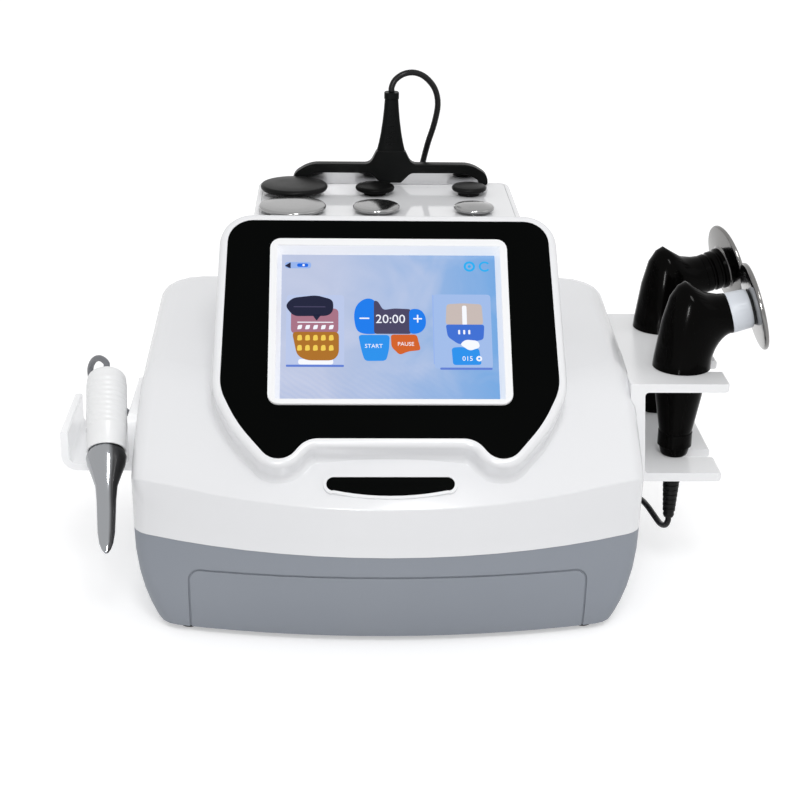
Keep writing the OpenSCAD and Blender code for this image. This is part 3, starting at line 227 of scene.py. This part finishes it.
# Each row: colour, roughness, metal; grain as scale, strength and depth in metres, with the change of
# the roughness and its scale; the CAD nodes that have this finish.
FINISHES = {
    "shell_white": (WHITE, 0.24, 0, (900, 0.05, 0.0002, 0.02, 9), ["upper_shell"]),
    "tray_white": (WHITE, 0.07, 0, (900, 0.01, 0.0002, 0.01, 9), ["electrode_tray"]),
    "rim_white": (RIM, 0.24, 0, (900, 0.05, 0.0002, 0.02, 9), ["screen_frame"]),
    "frame_white": (RIM, 0.24, 0, (900, 0.05, 0.0002, 0.02, 9), ["right_bracket"]),
    "acrylic": ((0.86, 0.865, 0.875), 0.2, 0, (700, 0.03, 0.0002, 0.02, 12), ["left_cradle", "grip_rest"]),
    "base_grey": ((0.286, 0.308, 0.346), 0.5, 0, (2200, 0.18, 0.0002, 0.03, 14), ["base_shell"]),
    "panel_dark": ((0.035, 0.037, 0.04), 0.5, 0, (2600, 0.25, 0.0002, 0.05, 20), ["rear_panel"]),
    "foot_rubber": ((0.02, 0.02, 0.021), 0.7, 0, (1500, 0.3, 0.0002, 0.06, 40), ["rubber_feet"]),
    "black_gloss": ((0.0016, 0.0019, 0.0018), 0.2, 0, (60, 0.01, 0.0002, 0.03, 12),
                    ["front_panel", "front_window"]),
    "black_plastic": ((0.0045, 0.005, 0.005), 0.34, 0, (1800, 0.12, 0.0002, 0.06, 30),
                      ["mains_inlet", "rocker_bezel", "fan_frame", "fan_rotor", "plate_handle",
                       "plate_strain_relief", "lead_plugs", "lead_ties"]),
    "hand_black": ((0.0013, 0.0012, 0.0011), 0.13, 0, (700, 0.02, 0.0002, 0.02, 25),
                   ["front_handpiece_shell", "front_handpiece_stem", "rear_handpiece_shell",
                    "rear_handpiece_stem", "rear_head_collar"]),
    "relief_black": ((0.006, 0.006, 0.006), 0.4, 0, (1500, 0.1, 0.0002, 0.07, 40), ["front_strain_relief"]),
    "white_part": ((0.85, 0.855, 0.86), 0.3, 0, (900, 0.05, 0.0002, 0.05, 20), ["blade_grip"]),
    "collar_white": ((0.7, 0.735, 0.79), 0.4, 0, (900, 0.05, 0.0002, 0.04, 20), ["front_head_collar"]),
    "steel": ((0.31, 0.31, 0.31), 0.16, 1, (1400, 0.03, 0.0001, 0.03, 30),
              ["steel_head_large", "steel_head_medium", "steel_head_small"]),
    "disc_steel": ((0.2, 0.197, 0.193), 0.14, 1, (1400, 0.03, 0.0001, 0.03, 30),
                   ["front_head_disc", "rear_head_disc"]),
    "plate_steel": ((0.66, 0.66, 0.67), 0.1, 1, (700, 0.02, 0.0001, 0.04, 18), ["return_plate"]),
    "chrome": ((0.33, 0.34, 0.355), 0.1, 1, (500, 0.01, 0.0001, 0.02, 20), ["blade"]),
    "coated": ((0.008, 0.008, 0.008), 0.36, 0, (2500, 0.18, 0.0001, 0.05, 30),
               ["black_head_large", "black_head_small"]),
    # The medium black head is darker and less glossy than the other two: a painted dark reflection.
    "coated_painted_reflection": ((0.004, 0.004, 0.004), 0.3, 0, (2500, 0.18, 0.0001, 0.05, 30), ["black_head_medium"]),
    "screw_steel": ((0.5, 0.5, 0.51), 0.3, 1, (1500, 0.05, 0.0001, 0.06, 60),
                    ["bracket_screws", "housing_screws", "fan_guard", "panel_sockets"]),
    "plain_metal": ((0.55, 0.56, 0.57), 0.35, 1, (600, 0.06, 0.0001, 0.08, 30),
                    ["chassis_plate", "lcd_module"]),
    "pocket_grey": ((0.6, 0.6, 0.61), 0.5, 0, (900, 0.1, 0.0002, 0.06, 60), ["plate_pocket"]),
    "board_green": ((0.02, 0.12, 0.05), 0.35, 0, (900, 0.1, 0.0002, 0.05, 60),
                    ["rf_generator_board", "main_board"]),
    "supply_tan": ((0.5, 0.46, 0.33), 0.4, 0.8, (900, 0.08, 0.0002, 0.06, 60), ["power_supply"]),
    "rocker_red": ((0.35, 0.01, 0.012), 0.25, 0, (900, 0.05, 0.0001, 0.04, 60), ["mains_rocker"]),
    "lead_black": ((0.006, 0.006, 0.0065), 0.3, 0, (1600, 0.1, 0.0001, 0.06, 60), []),
    "lead_grey": ((0.16, 0.165, 0.18), 0.4, 0, (1600, 0.1, 0.0001, 0.06, 60), []),
}
# Specular level, painted glow and slow tint of the finishes that have one; a tint is colour, scale and
# amount. The glow is painted light: these parts glow though they are no lamps.
SPECULAR = {
    "base_grey": 0.15, "black_gloss": 0.012, "black_plastic": 0.05, "hand_black": 0.035,
    "relief_black": 0.15, "lead_black": 0.2, "coated": 0.072, "coated_painted_reflection": 0.03,
}
PAINTED_GLOW = {"frame_white": 0.04, "acrylic": 0.1}
TINTS = {
    "shell_white": ((0.785, 0.79, 0.81), 6, 0.4),
    "tray_white": ((0.785, 0.79, 0.81), 6, 0.4),
    "rim_white": ((0.81, 0.815, 0.83), 6, 0.4),
    "frame_white": ((0.81, 0.815, 0.83), 6, 0.4),
    "acrylic": ((0.84, 0.845, 0.86), 9, 0.5),
    "base_grey": ((0.27, 0.293, 0.333), 8, 0.5),
    "board_green": ((0.05, 0.2, 0.08), 300, 0.6),
}


def finish(name):
    """The material of one row of FINISHES, with what the tables below it add."""
    color, rough, metal, texture, _ = FINISHES[name]
    m = grain(material(name, color, rough, metal), *texture)
    inputs = m.node_tree.nodes["Principled BSDF"].inputs
    if name in SPECULAR:
        inputs["Specular IOR Level"].default_value = SPECULAR[name]
    # Painted light: a glow that brightens a part which is no lamp.
    if name in PAINTED_GLOW:
        inputs["Emission Color"].default_value = (1, 1, 1, 1)
        inputs["Emission Strength"].default_value = PAINTED_GLOW[name]
    if name in TINTS:
        tint(m, *TINTS[name])
    return m


looks = {name: finish(name) for name in FINISHES}
# Painted light: the screen frame glows though it is no lamp, more on its slopes down to the glass.
painted_glow_slopes(looks["rim_white"], flat=0.04, slope=0.19)
# Painted reflection: the blade's chrome is darker on its faces towards +X.
painted_reflection_side(looks["chrome"], dark=(0.06, 0.06, 0.062))
LOOK_OF = {n: looks[name] for name, row in FINISHES.items() for n in row[-1]}
LOOK_OF["touch_screen"] = picture_look()
for n, look in LOOK_OF.items():
    frame["nodes"][n].material_slots[0].material = look

BODY_OF = {n: b for b, ns in frame["record"]["behaviour"]["bodies"].items() for n in ns}

# Shown copies of CAD nodes, lengths in metres: the height of the flat ring round the panel above
# the glass, how near to it a point counts as in it, and how near two points count as one.
RIM_TOP, IN_RING, SAME_POINT = 0.008, 2e-5, 3e-6
FLAT_ANGLE = math.radians(0.4)
SHARP_DEGREES = 33
BEVEL_SEGMENTS = 2


def above_glass(p):
    """Height of a point above the plane of the glass, in metres."""
    return (p - Vector((0, SCREEN_Y, SCREEN_Z)) / 1000).dot(OUT_OF_GLASS)


def refill_rim(bm):
    """The flat ring round the panel's recess, filled anew between its two outlines."""
    ring = [f for f in bm.faces if all(abs(above_glass(v.co) - RIM_TOP) < IN_RING for v in f.verts)]
    bmesh.ops.delete(bm, geom=ring, context="FACES")
    rims = [e for e in bm.edges if len(e.link_faces) == 1]
    bmesh.ops.triangle_fill(bm, edges=rims, use_beauty=True, normal=OUT_OF_GLASS)
    bmesh.ops.recalc_face_normals(bm, faces=bm.faces)


def add_object(name, mesh, look):
    """The mesh as an object of the scene, with this material in its first slot."""
    o = bpy.data.objects.new(name, mesh)
    bpy.context.scene.collection.objects.link(o)
    mesh.materials.append(look)
    return o


def dress(node, look, width, degrees):
    """A copy of a CAD node with flat faces merged, smooth shading and, with a width, rounded edges."""
    sharp = math.radians(degrees)
    bm = bmesh.new()
    bm.from_mesh(frame["nodes"][node].data)
    bmesh.ops.remove_doubles(bm, verts=bm.verts, dist=SAME_POINT)
    if node == "upper_shell":
        refill_rim(bm)
    bmesh.ops.dissolve_limit(bm, angle_limit=FLAT_ANGLE, verts=bm.verts, edges=bm.edges)
    for f in bm.faces:
        f.smooth = True
    for e in bm.edges:
        e.smooth = not (len(e.link_faces) == 2 and e.calc_face_angle(0) > sharp)
    me = bpy.data.meshes.new(node + "_shown")
    bm.to_mesh(me)
    bm.free()
    o = add_object(node + "_shown", me, look)
    if width:
        mod = o.modifiers.new("edges", "BEVEL")
        mod.width = width
        mod.segments = BEVEL_SEGMENTS
        mod.limit_method = "ANGLE"
        mod.angle_limit = sharp
        mod.harden_normals = True
        mod.miter_outer = "MITER_ARC"
        even = o.modifiers.new("even", "WEIGHTED_NORMAL")
        even.keep_sharp = True
    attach(o, BODY_OF[node])
    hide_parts(node)


# Width of the rounded edges in metres; the nodes in ROUND are only smoothed.
EDGES = {
    "upper_shell": 0.0004, "base_shell": 0.0005, "electrode_tray": 0.0006, "left_cradle": 0.0008,
    "right_bracket": 0.0012, "screen_frame": 0.0008, "front_panel": 0.0003, "front_window": 0.0003,
    "plate_handle": 0.0016, "return_plate": 0.0003, "rocker_bezel": 0.0003, "mains_inlet": 0.0003,
    "mains_rocker": 0.0003, "fan_frame": 0.0004, "rear_panel": 0.0002, "rubber_feet": 0.0004,
    "grip_rest": 0.0008, "plate_pocket": 0.0003, "blade": 0.0004,
    "front_head_disc": 0.0006, "rear_head_disc": 0.0006,
}
ROUND = [
    "front_handpiece_shell", "front_handpiece_stem", "front_head_collar", "rear_handpiece_shell",
    "rear_handpiece_stem", "rear_head_collar", "front_strain_relief", "plate_strain_relief",
    "blade_grip", "steel_head_large", "steel_head_medium", "steel_head_small", "black_head_large",
    "black_head_medium", "black_head_small",
]
# Edges up to this many degrees stay smooth on these two shells, whose rings turn sharply at the heel.
SOFT = {"front_handpiece_shell": 60, "rear_handpiece_shell": 60}
for n, look in LOOK_OF.items():
    if n in EDGES or n in ROUND:
        dress(n, look, EDGES.get(n, 0), SOFT.get(n, SHARP_DEGREES))


# Cords; points and lengths are in mm, with x from the console's middle. PLUG_Z is the height of the
# plugs' lower ends, where the leads go in.
LEAD_D, PITCH, COIL_R, TURNS, PER_TURN, COIL_Y, COIL_Z = 5.0, 5.5, 35.0, 6.5, 30, 196.0, 3.4
PLUG_Z = 29.0
TUBE_SIDES = 14


def smooth_path(points):
    """Catmull-Rom curve through the points."""
    steps = 4
    p = [Vector(q) for q in points]
    out = []
    for i in range(len(p) - 1):
        a = p[i - 1] if i else p[0]
        b, c = p[i], p[i + 1]
        d = p[i + 2] if i + 2 < len(p) else p[-1]
        for k in range(steps):
            t = k / steps
            out.append(0.5 * (2 * b + (c - a) * t + (2 * a - 5 * b + 4 * c - d) * t * t
                              + (3 * b - a - 3 * c + d) * t * t * t))
    out.append(p[-1])
    return out


def mesh_object(name, bm, look, smooth=True):
    """An object from bm; with smooth, its four-sided faces are shaded smooth and its caps stay flat."""
    bmesh.ops.recalc_face_normals(bm, faces=bm.faces)
    for f in bm.faces:
        f.smooth = smooth and len(f.verts) == 4
    me = bpy.data.meshes.new(name)
    bm.to_mesh(me)
    bm.free()
    return add_object(name, me, look)


def tube_mesh(name, path, radius, look):
    """A closed tube along the path, with rings that don't twist."""
    bm = bmesh.new()
    t = (path[1] - path[0]).normalized()
    s = t.cross(Vector((0, 1, 0)) if abs(t.z) > 0.9 else Vector((0, 0, 1))).normalized()
    rings = []
    for i, p in enumerate(path):
        a, b = path[max(0, i - 1)], path[min(len(path) - 1, i + 1)]
        t = (b - a).normalized()
        s = (s - t * s.dot(t)).normalized()
        v = t.cross(s)
        rings.append([bm.verts.new(p + radius * (s * math.cos(2 * math.pi * j / TUBE_SIDES)
                                                 + v * math.sin(2 * math.pi * j / TUBE_SIDES)))
                      for j in range(TUBE_SIDES)])
    for r, q in zip(rings, rings[1:]):
        for j in range(TUBE_SIDES):
            k = (j + 1) % TUBE_SIDES
            bm.faces.new((r[j], r[k], q[k], q[j]))
    bm.faces.new(list(reversed(rings[0])))
    bm.faces.new(rings[-1])
    return mesh_object(name, bm, look)


def coil_points(s):
    """Round coil of two layers: inwards on the floor, up by one pitch, and outwards again."""
    n = int(TURNS * PER_TURN)
    mid = n / 2
    core = []
    for i in range(n + 1):
        r = COIL_R - (mid - abs(i - mid)) / PER_TURN * PITCH
        rise = min(1.0, max(0.0, 0.5 + (i - mid) / (PER_TURN / 2)))
        a = 2 * math.pi * i / PER_TURN
        core.append((s * r * math.cos(a), r * math.sin(a), rise * PITCH))
    return core


FRONT = [
    (231, -22, 53), (231, -22, 49), (229.8, -18.5, 43.4), (227.4, -9.5, 40.4),
    (224.6, 4, 41.4), (221.6, 18, 43), (218.6, 34, 42), (214.6, 52, 36.5),
    (211, 70, 27), (208, 88, 16), (206, 105, 7), (205, 120, 3.4),
    (203, 138, 2.8), (197.5, 155, 2.8), (190.5, 170, 2.9), (186, 180, 3.2),
    (185, 186, 3.4),
]
PLATE = [
    (5, 117.5, 370), (5, 117.5, 374), (8, 118, 380), (15, 119.5, 384.5), (24, 122.5, 385),
    (33, 126, 380.5), (41, 130, 370.5), (44, 133, 357), (41.5, 136, 340),
    (36.5, 139, 322), (32, 143, 300), (29, 149, 275), (28, 156, 250),
    (28, 160, 220), (28, 162, 180), (28, 163.5, 140), (28, 164.5, 100),
    (27.5, 165, 70), (25.5, 166.5, 42), (21, 170, 20), (16.6, 177, 7),
    (15, 185, 3.4),
]
# The grip's axis climbs by TILT and turns by TURN; its tail is one grip length up it from the mouth.
TILT, TURN = math.radians(37), math.radians(5)
GRIP_AXIS = Vector((-math.sin(TURN) * math.cos(TILT), math.cos(TURN) * math.cos(TILT), math.sin(TILT)))
GRIP_L, MOUTH = 72, (-214.5, -71, 130.5)
GRIP_TAIL = Vector(MOUTH) + GRIP_L * GRIP_AXIS
BLADE = [
    tuple(GRIP_TAIL), tuple(GRIP_TAIL + 5 * GRIP_AXIS),
    (-220.5, -7, 179.2), (-225, -2, 180.8), (-230, 3.5, 178.5),
    (-234.2, 9, 172.5), (-236.5, 14, 164), (-236, 19, 153), (-231.5, 24, 143),
    (-224.5, 29, 134), (-216.5, 34, 125.5), (-209, 41, 114.5), (-204, 52, 97),
    (-202, 67, 73), (-202, 85, 45), (-203, 104, 20), (-204, 120, 6.5),
    (-202.5, 136, 3), (-195, 151, 2.8), (-180, 161.5, 2.8), (-160, 166.5, 2.8),
    (-139, 170.5, 2.8), (-121.5, 176, 3), (-112, 182, 3.2), (-110, 186.5, 3.4),
]


def tail_points(x):
    """From the coil's upper layer up into the plug at x."""
    z = COIL_Z + PITCH
    return [(x, COIL_Y - LEAD_D, z), (x, 183, z + 0.3), (x, 176, z + 1.8), (x, 169.5, z + 6),
            (x, 165, z + 12), (x, 163, z + 18.5), (x, 163, PLUG_Z)]


def add_cord(name, route, coil_x, plug_x, look):
    """The lead's piece, the points that it follows and its length, in metres."""
    # The coil furthest right is wound the other way, because its lead comes in from the right.
    s = 1 if coil_x > 100 else -1
    coil = [Vector((coil_x + p[0], COIL_Y + p[1], COIL_Z + p[2])) for p in coil_points(s)]
    line = smooth_path(route + [(coil_x + s * COIL_R, COIL_Y - LEAD_D, COIL_Z)])
    line += coil + smooth_path(tail_points(plug_x))
    path = [Vector((p.x / 1000 + CX, p.y / 1000, p.z / 1000)) for p in line]
    o = tube_mesh(name, path, LEAD_D / 2000, look)
    length = sum((b - a).length for a, b in zip(path, path[1:]))
    return o, path, length


CORDS = [
    ("cord_front", FRONT, 150, 115, "lead_black", "front_lead", "front_handpiece",
     (231, -22, 50), (206, 105, 7)),
    ("cord_plate", PLATE, 50, 85, "lead_black", "plate_lead", "return_electrode",
     (28, 156, 260), (28, 165, 60)),
    ("cord_blade", BLADE, -75, -40, "lead_grey", "blade_lead", "blade_handpiece",
     (-236, 14, 170), (-203, 104, 20)),
]
for name, route, coil_x, plug_x, look, node, body, start, end in CORDS:
    o, path, length = add_cord(name, route, coil_x, plug_x, looks[look])
    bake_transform(o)
    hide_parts(node, node + "_coil", node + "_tail")


# Picture on the display; lengths in mm, u to the right and v up the slope from the glass's middle
WORD_HEIGHT, WORD_DEPTH = 0.44, 0.05
TILE_LOW, LAYER = 0.03, 0.07


def on_screen(u, v, h=0.0):
    """Point in metres at u and v, h mm out of the glass."""
    return Vector((
        u / 1000 + CX,
        (SCREEN_Y + v * math.sin(LEAN) - h * math.cos(LEAN)) / 1000,
        (SCREEN_Z + v * math.cos(LEAN) + h * math.sin(LEAN)) / 1000,
    ))


def lit(name, color):
    """A part of the lit picture: it shines in its own colour behind the glass."""
    m = material(name, tuple(c * 0.05 for c in color), 0.25)
    inputs = m.node_tree.nodes["Principled BSDF"].inputs
    inputs["Specular IOR Level"].default_value = 0.1
    inputs["Emission Color"].default_value = (*color, 1)
    inputs["Emission Strength"].default_value = 1.0
    return grain(m, 300, 0.01, 0.0001, 0.02, 20)


def plate_on_screen(name, outline, look, h0=0.05, h1=0.22):
    """A thin flat tile on the glass from its outline in u and v."""
    bm = bmesh.new()
    low = [bm.verts.new(on_screen(u, v, h0)) for u, v in outline]
    top = [bm.verts.new(on_screen(u, v, h1)) for u, v in outline]
    bm.faces.new(top)
    bm.faces.new(list(reversed(low)))
    n = len(outline)
    for i in range(n):
        k = (i + 1) % n
        bm.faces.new((low[i], low[k], top[k], top[i]))
    o = mesh_object(name, bm, look, smooth=False)
    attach(o, "console")


def ring_outline(u, v, r0, r1, a0=0.0, a1=360.0, n=32):
    """Ring or open ring from angle a0 to a1 in degrees, out along r1 and back along r0."""
    turns = [math.radians(a0 + (a1 - a0) * i / n) for i in range(n + 1)]
    out = [(u + r1 * math.cos(a), v + r1 * math.sin(a)) for a in turns]
    inner = [(u + r0 * math.cos(a), v + r0 * math.sin(a)) for a in reversed(turns)]
    return out + inner


def words(name, text, u, v, size, look):
    """Letters of this size in mm, as a mesh that lies just above the tiles."""
    c = bpy.data.curves.new(name, "FONT")
    c.body = text
    c.size = size / 1000
    c.align_x, c.align_y = "CENTER", "CENTER"
    c.extrude = WORD_DEPTH / 1000
    c.resolution_u = 3
    t = bpy.data.objects.new(name, c)
    bpy.context.scene.collection.objects.link(t)
    bpy.context.view_layer.update()
    me = bpy.data.meshes.new_from_object(t.evaluated_get(bpy.context.evaluated_depsgraph_get()))
    bpy.data.objects.remove(t)
    me.transform(Matrix.Translation(on_screen(u, v, WORD_HEIGHT))
                 @ Matrix.Rotation(math.pi / 2 - LEAN, 4, "X"))
    me.materials.clear()
    o = add_object(name, me, look)
    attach(o, "console")


header = lit("ui_header", (0.012, 0.014, 0.042))
dark = lit("ui_dark", (0.062, 0.055, 0.118))
blue_deep = lit("ui_blue", (0.008, 0.13, 0.72))
blue_key = lit("ui_key", (0.008, 0.19, 0.80))
blue_right = lit("ui_right", (0.045, 0.15, 0.62))
blue_light = lit("ui_sky", (0.02, 0.27, 0.80))
cyan = lit("ui_cyan", (0.02, 0.40, 0.84))
orange = lit("ui_orange", (0.62, 0.115, 0.018))
pink = lit("ui_pink", (0.37, 0.16, 0.225))
amber = lit("ui_amber", (0.40, 0.155, 0.018))
yellow = lit("ui_yellow", (0.85, 0.60, 0.09))
cream = lit("ui_cream", (0.55, 0.47, 0.44))
snow = lit("ui_white", (0.88, 0.90, 0.97))
frame_line = lit("ui_line", (0.11, 0.20, 0.62))
pale_card = lit("ui_card", (0.47, 0.55, 0.78))
blue_card = lit("ui_card_right", (0.34, 0.48, 0.78))
faint_blue = lit("ui_faint", (0.30, 0.44, 0.80))


def soft(corners, r):
    """The outline through the corners, each rounded by about r, or by just under half a short side."""
    steps = 5
    out = []
    k = len(corners)
    for i in range(k):
        a, b, c = (Vector((*corners[(i + j) % k], 0)) for j in (-1, 0, 1))
        p = b + (a - b).normalized() * min(r, (a - b).length / 2.05)
        q = b + (c - b).normalized() * min(r, (c - b).length / 2.05)
        for j in range(steps + 1):
            t = j / steps
            e = p * (1 - t) ** 2 + b * 2 * t * (1 - t) + q * t * t
            out.append((e.x, e.y))
    return out


def tile(name, corners, r, look, layer):
    """A tile of the picture; each layer lies a hair above the one before."""
    plate_on_screen(name, soft(corners, r), look, TILE_LOW + LAYER * layer, LAYER + LAYER * layer)


def box(u, v, w, h):
    """Corners of a rectangle with its middle at u and v."""
    return [(u - w / 2, v - h / 2), (u + w / 2, v - h / 2), (u + w / 2, v + h / 2), (u - w / 2, v + h / 2)]


# Left card
tile("ui_left_card", box(-55.6, -3.5, 43.5, 60), 3, pale_card, 0)
tile("ui_left_foot", box(-55.6, -32.6, 43, 1.8), 0.8, frame_line, 1)
tile("ui_left_glow", box(-55, -29.3, 26, 4.4), 2, snow, 1)
tile("ui_left_pink", box(-56, 4.6, 35.6, 21), 4, pink, 1)
tile("ui_left_amber", [(-73, -4.5), (-69, -24), (-62, -28.2), (-42, -28.2), (-37.8, -23), (-37.8, -4.5)],
     4, amber, 2)
tile("ui_left_head", [(-78.6, 17.3), (-72, 8.5), (-46, 8.8), (-42, 13), (-42.2, 22.5), (-55, 26.3),
                      (-73, 24)], 4, header, 3)
tile("ui_left_pin", [(-58, 10), (-54.6, 4.6), (-51, 10)], 1.2, header, 3)
tile("ui_head_line", box(-60, 16.4, 24, 0.8), 0.3, dark, 4)
tile("ui_left_line", box(-55.5, 3.4, 27, 0.8), 0.3, snow, 4)
for i in range(5):
    x = -67.2 + 5.9 * i
    tile(f"ui_bar_{i}", [(x - 1.9, -2.6), (x + 1.3, -2.2), (x + 2, 1.2), (x - 1.2, 0.9)], 0.8, snow, 4)
    for j in range(2):
        y = -9.4 - 8.4 * j
        tile(f"ui_key_{i}_{j}", [(x - 1.8, y - 2.6), (x + 2, y - 2.2), (x + 1.5, y + 2.4),
                                 (x - 1.5, y + 2)], 1.3, yellow, 4)

# Time and keys in the middle
tile("ui_minus_key", [(-26.8, 9), (-25, -3), (-20, -6.2), (-8, -6.2), (-8, 18), (-12.5, 23.8),
                      (-19, 23.6), (-25, 18)], 5, blue_key, 1)
tile("ui_time_box", [(-11.5, -6), (16.5, -6), (16.5, 14.8), (4, 15.4), (-4.5, 14), (-8.5, 21.5),
                     (-11.5, 22)], 2.4, dark, 2)
tile("ui_plus_key", [(15, -6.2), (23, -5.6), (27.6, 0), (27.6, 9), (23.5, 15), (15, 15)], 4, blue_key, 3)
tile("ui_minus", box(-18.7, 6.9, 7.4, 1.1), 0.4, snow, 4)
tile("ui_plus_a", box(21.4, 6.7, 6.6, 1.1), 0.4, snow, 4)
tile("ui_plus_b", box(21.4, 6.7, 1.1, 6.6), 0.4, snow, 5)
words("ui_time", "20:00", 0.9, 6, 10.2, snow)
tile("ui_start_key", [(-23.4, -7), (0.2, -7), (-0.4, -19), (-2.6, -28.4), (-18.6, -28.6), (-21, -20)],
     3, blue_light, 4)
tile("ui_pause_key", [(1, -6.6), (20.5, -6.6), (23.4, -19.5), (14, -20.6), (7.5, -23.6), (1.4, -17)],
     2.4, orange, 4)
words("ui_start", "START", -11.8, -16.4, 4.6, snow)
words("ui_pause", "PAUSE", 12.2, -14.6, 4.4, snow)

# Right card
tile("ui_right_card", box(55.2, -3.5, 43.5, 62), 3, blue_card, 0)
tile("ui_right_foot", box(57, -34.6, 39, 1.8), 0.8, frame_line, 1)
tile("ui_right_side", box(33.2, -2, 0.9, 58), 0.3, faint_blue, 1)
tile("ui_right_top", [(42.4, 2), (70.8, 2), (70, 19.2), (56, 20), (43.4, 19.2)], 2.6, cream, 1)
tile("ui_right_glow", box(56.8, 9.5, 3.4, 17), 1.6, snow, 2)
tile("ui_right_mid", [(42.4, 2), (71.6, 2), (70.6, -10.5), (62, -12.4), (52, -14.6), (43.8, -8.4)],
     2.4, blue_right, 3)
tile("ui_right_base", [(46.4, -17.4), (52, -16.6), (67, -18), (68.6, -31.4), (47.2, -31.6)],
     2.4, blue_light, 1)
tile("ui_right_pill", [(52.6, -14.6), (57, -10.6), (66.4, -11.6), (68, -17), (60, -20)], 2.6, snow, 4)
words("ui_level", "015", 58.2, -26.6, 5.4, snow)
for i in range(3):
    tile(f"ui_tick_{i}", box(52.4 + 3.8 * i, -4.4, 1.5, 3.6), 0.6, snow, 4)
plate_on_screen("ui_level_ring", ring_outline(66.8, -26.4, 0.9, 2.2), snow, 0.3, 0.34)

# Small symbols along the top
plate_on_screen("ui_ring_a", ring_outline(61.7, 51.6, 2.7, 4.4), cyan)
plate_on_screen("ui_ring_dot", ring_outline(61.7, 51.6, 0.01, 1.2), cyan)
plate_on_screen("ui_ring_b", ring_outline(73.4, 51.6, 3.0, 4.4, 40, 320), cyan)
tile("ui_back_glow", box(-69, 52, 20, 5.4), 2.6, faint_blue, 1)
tile("ui_back", [(-79.2, 51.4), (-74.6, 54.6), (-74.6, 49)], 0.8, header, 2)
tile("ui_title", box(-65.5, 52, 8.4, 3), 1.4, blue_deep, 2)
tile("ui_title_dot", box(-64.8, 52, 1.8, 1.8), 0.8, snow, 3)


# Light and floor; places and sizes in metres, power in watts. WORLD_LIGHT is what the world gives the
# object, and FLOOR_LIGHT is the floor's own glow towards the camera.
WORLD_LIGHT = 0.74
FLOOR_LIGHT = 0.4
FLOOR_SIZE = 3.0
FLOOR_PLACE = (0, 0.5, -0.0002)
LAMPS = [
    ("key", (0.05, -1.25, 1.55), (0, 0, 0.2), 10, (0.5, 0.5)),
    ("side", (1.5, -0.5, 1.1), (0, 0, 0.15), 1.4, (1.0, 1.0)),
    ("spark", (0.22, -1.2, 1.45), (0.2, 0, 0.25), 12, (0.22, 0.5)),
    ("strip", (-0.2, -1.25, 0.52), (0.2, 0, 0.25), 6, (0.05, 0.28)),
]


def add_lamp(name, at, aim, power, size):
    d = bpy.data.lights.new(name, "AREA")
    d.energy = power
    d.shape = "RECTANGLE"
    d.size, d.size_y = size
    o = bpy.data.objects.new(name, d)
    bpy.context.scene.collection.objects.link(o)
    o.location = at
    o.rotation_euler = (Vector(aim) - Vector(at)).to_track_quat("-Z", "Y").to_euler()
    return o


# The key lamp isn't mirrored in the glossy parts; spark and strip are seen there alone.
lamps = {row[0]: add_lamp(*row) for row in LAMPS}
lamps["key"].visible_glossy = False
lamps["spark"].visible_diffuse = False
lamps["strip"].visible_diffuse = False


def seen_rays(nodes, links):
    """1 for the rays that look at the background: the camera's, reflected and refracted ones."""
    ray = nodes.new("ShaderNodeLightPath")
    total = ray.outputs["Is Camera Ray"]
    for kind in ("Is Glossy Ray", "Is Transmission Ray"):
        add = nodes.new("ShaderNodeMath")
        add.operation = "ADD"
        add.use_clamp = True
        links.new(total, add.inputs[0])
        links.new(ray.outputs[kind], add.inputs[1])
        total = add.outputs[0]
    return total


world = bpy.data.worlds.new("world")
bpy.context.scene.world = world
world.use_nodes = True
wn, wl = world.node_tree.nodes, world.node_tree.links
bg = wn["Background"]
bg.inputs["Color"].default_value = (1, 1, 1, 1)
bg.inputs["Strength"].default_value = WORLD_LIGHT
seen = wn.new("ShaderNodeBackground")
seen.inputs["Color"].default_value = (1, 1, 1, 1)
seen.inputs["Strength"].default_value = 1.0
mix = wn.new("ShaderNodeMixShader")
wl.new(seen_rays(wn, wl), mix.inputs[0])
wl.new(bg.outputs[0], mix.inputs[1])
wl.new(seen.outputs[0], mix.inputs[2])
wl.new(mix.outputs[0], wn["World Output"].inputs["Surface"])

floor_look = grain(material("floor_pale", (0.8, 0.8, 0.805), 0.6), 300, 0.02, 0.0002, 0.03, 3)
fn, fl, floor_shader = nodes_of(floor_look)
floor_shader.inputs["Emission Color"].default_value = (1, 1, 1, 1)
glow = fn.new("ShaderNodeMath")
glow.operation = "MULTIPLY"
glow.inputs[1].default_value = FLOOR_LIGHT
fl.new(seen_rays(fn, fl), glow.inputs[0])
fl.new(glow.outputs[0], floor_shader.inputs["Emission Strength"])
bm = bmesh.new()
bmesh.ops.create_grid(bm, x_segments=8, y_segments=8, size=FLOOR_SIZE)
floor = mesh_object("floor", bm, floor_look)
floor.location = FLOOR_PLACE

bpy.context.scene.view_settings.view_transform = "Standard"
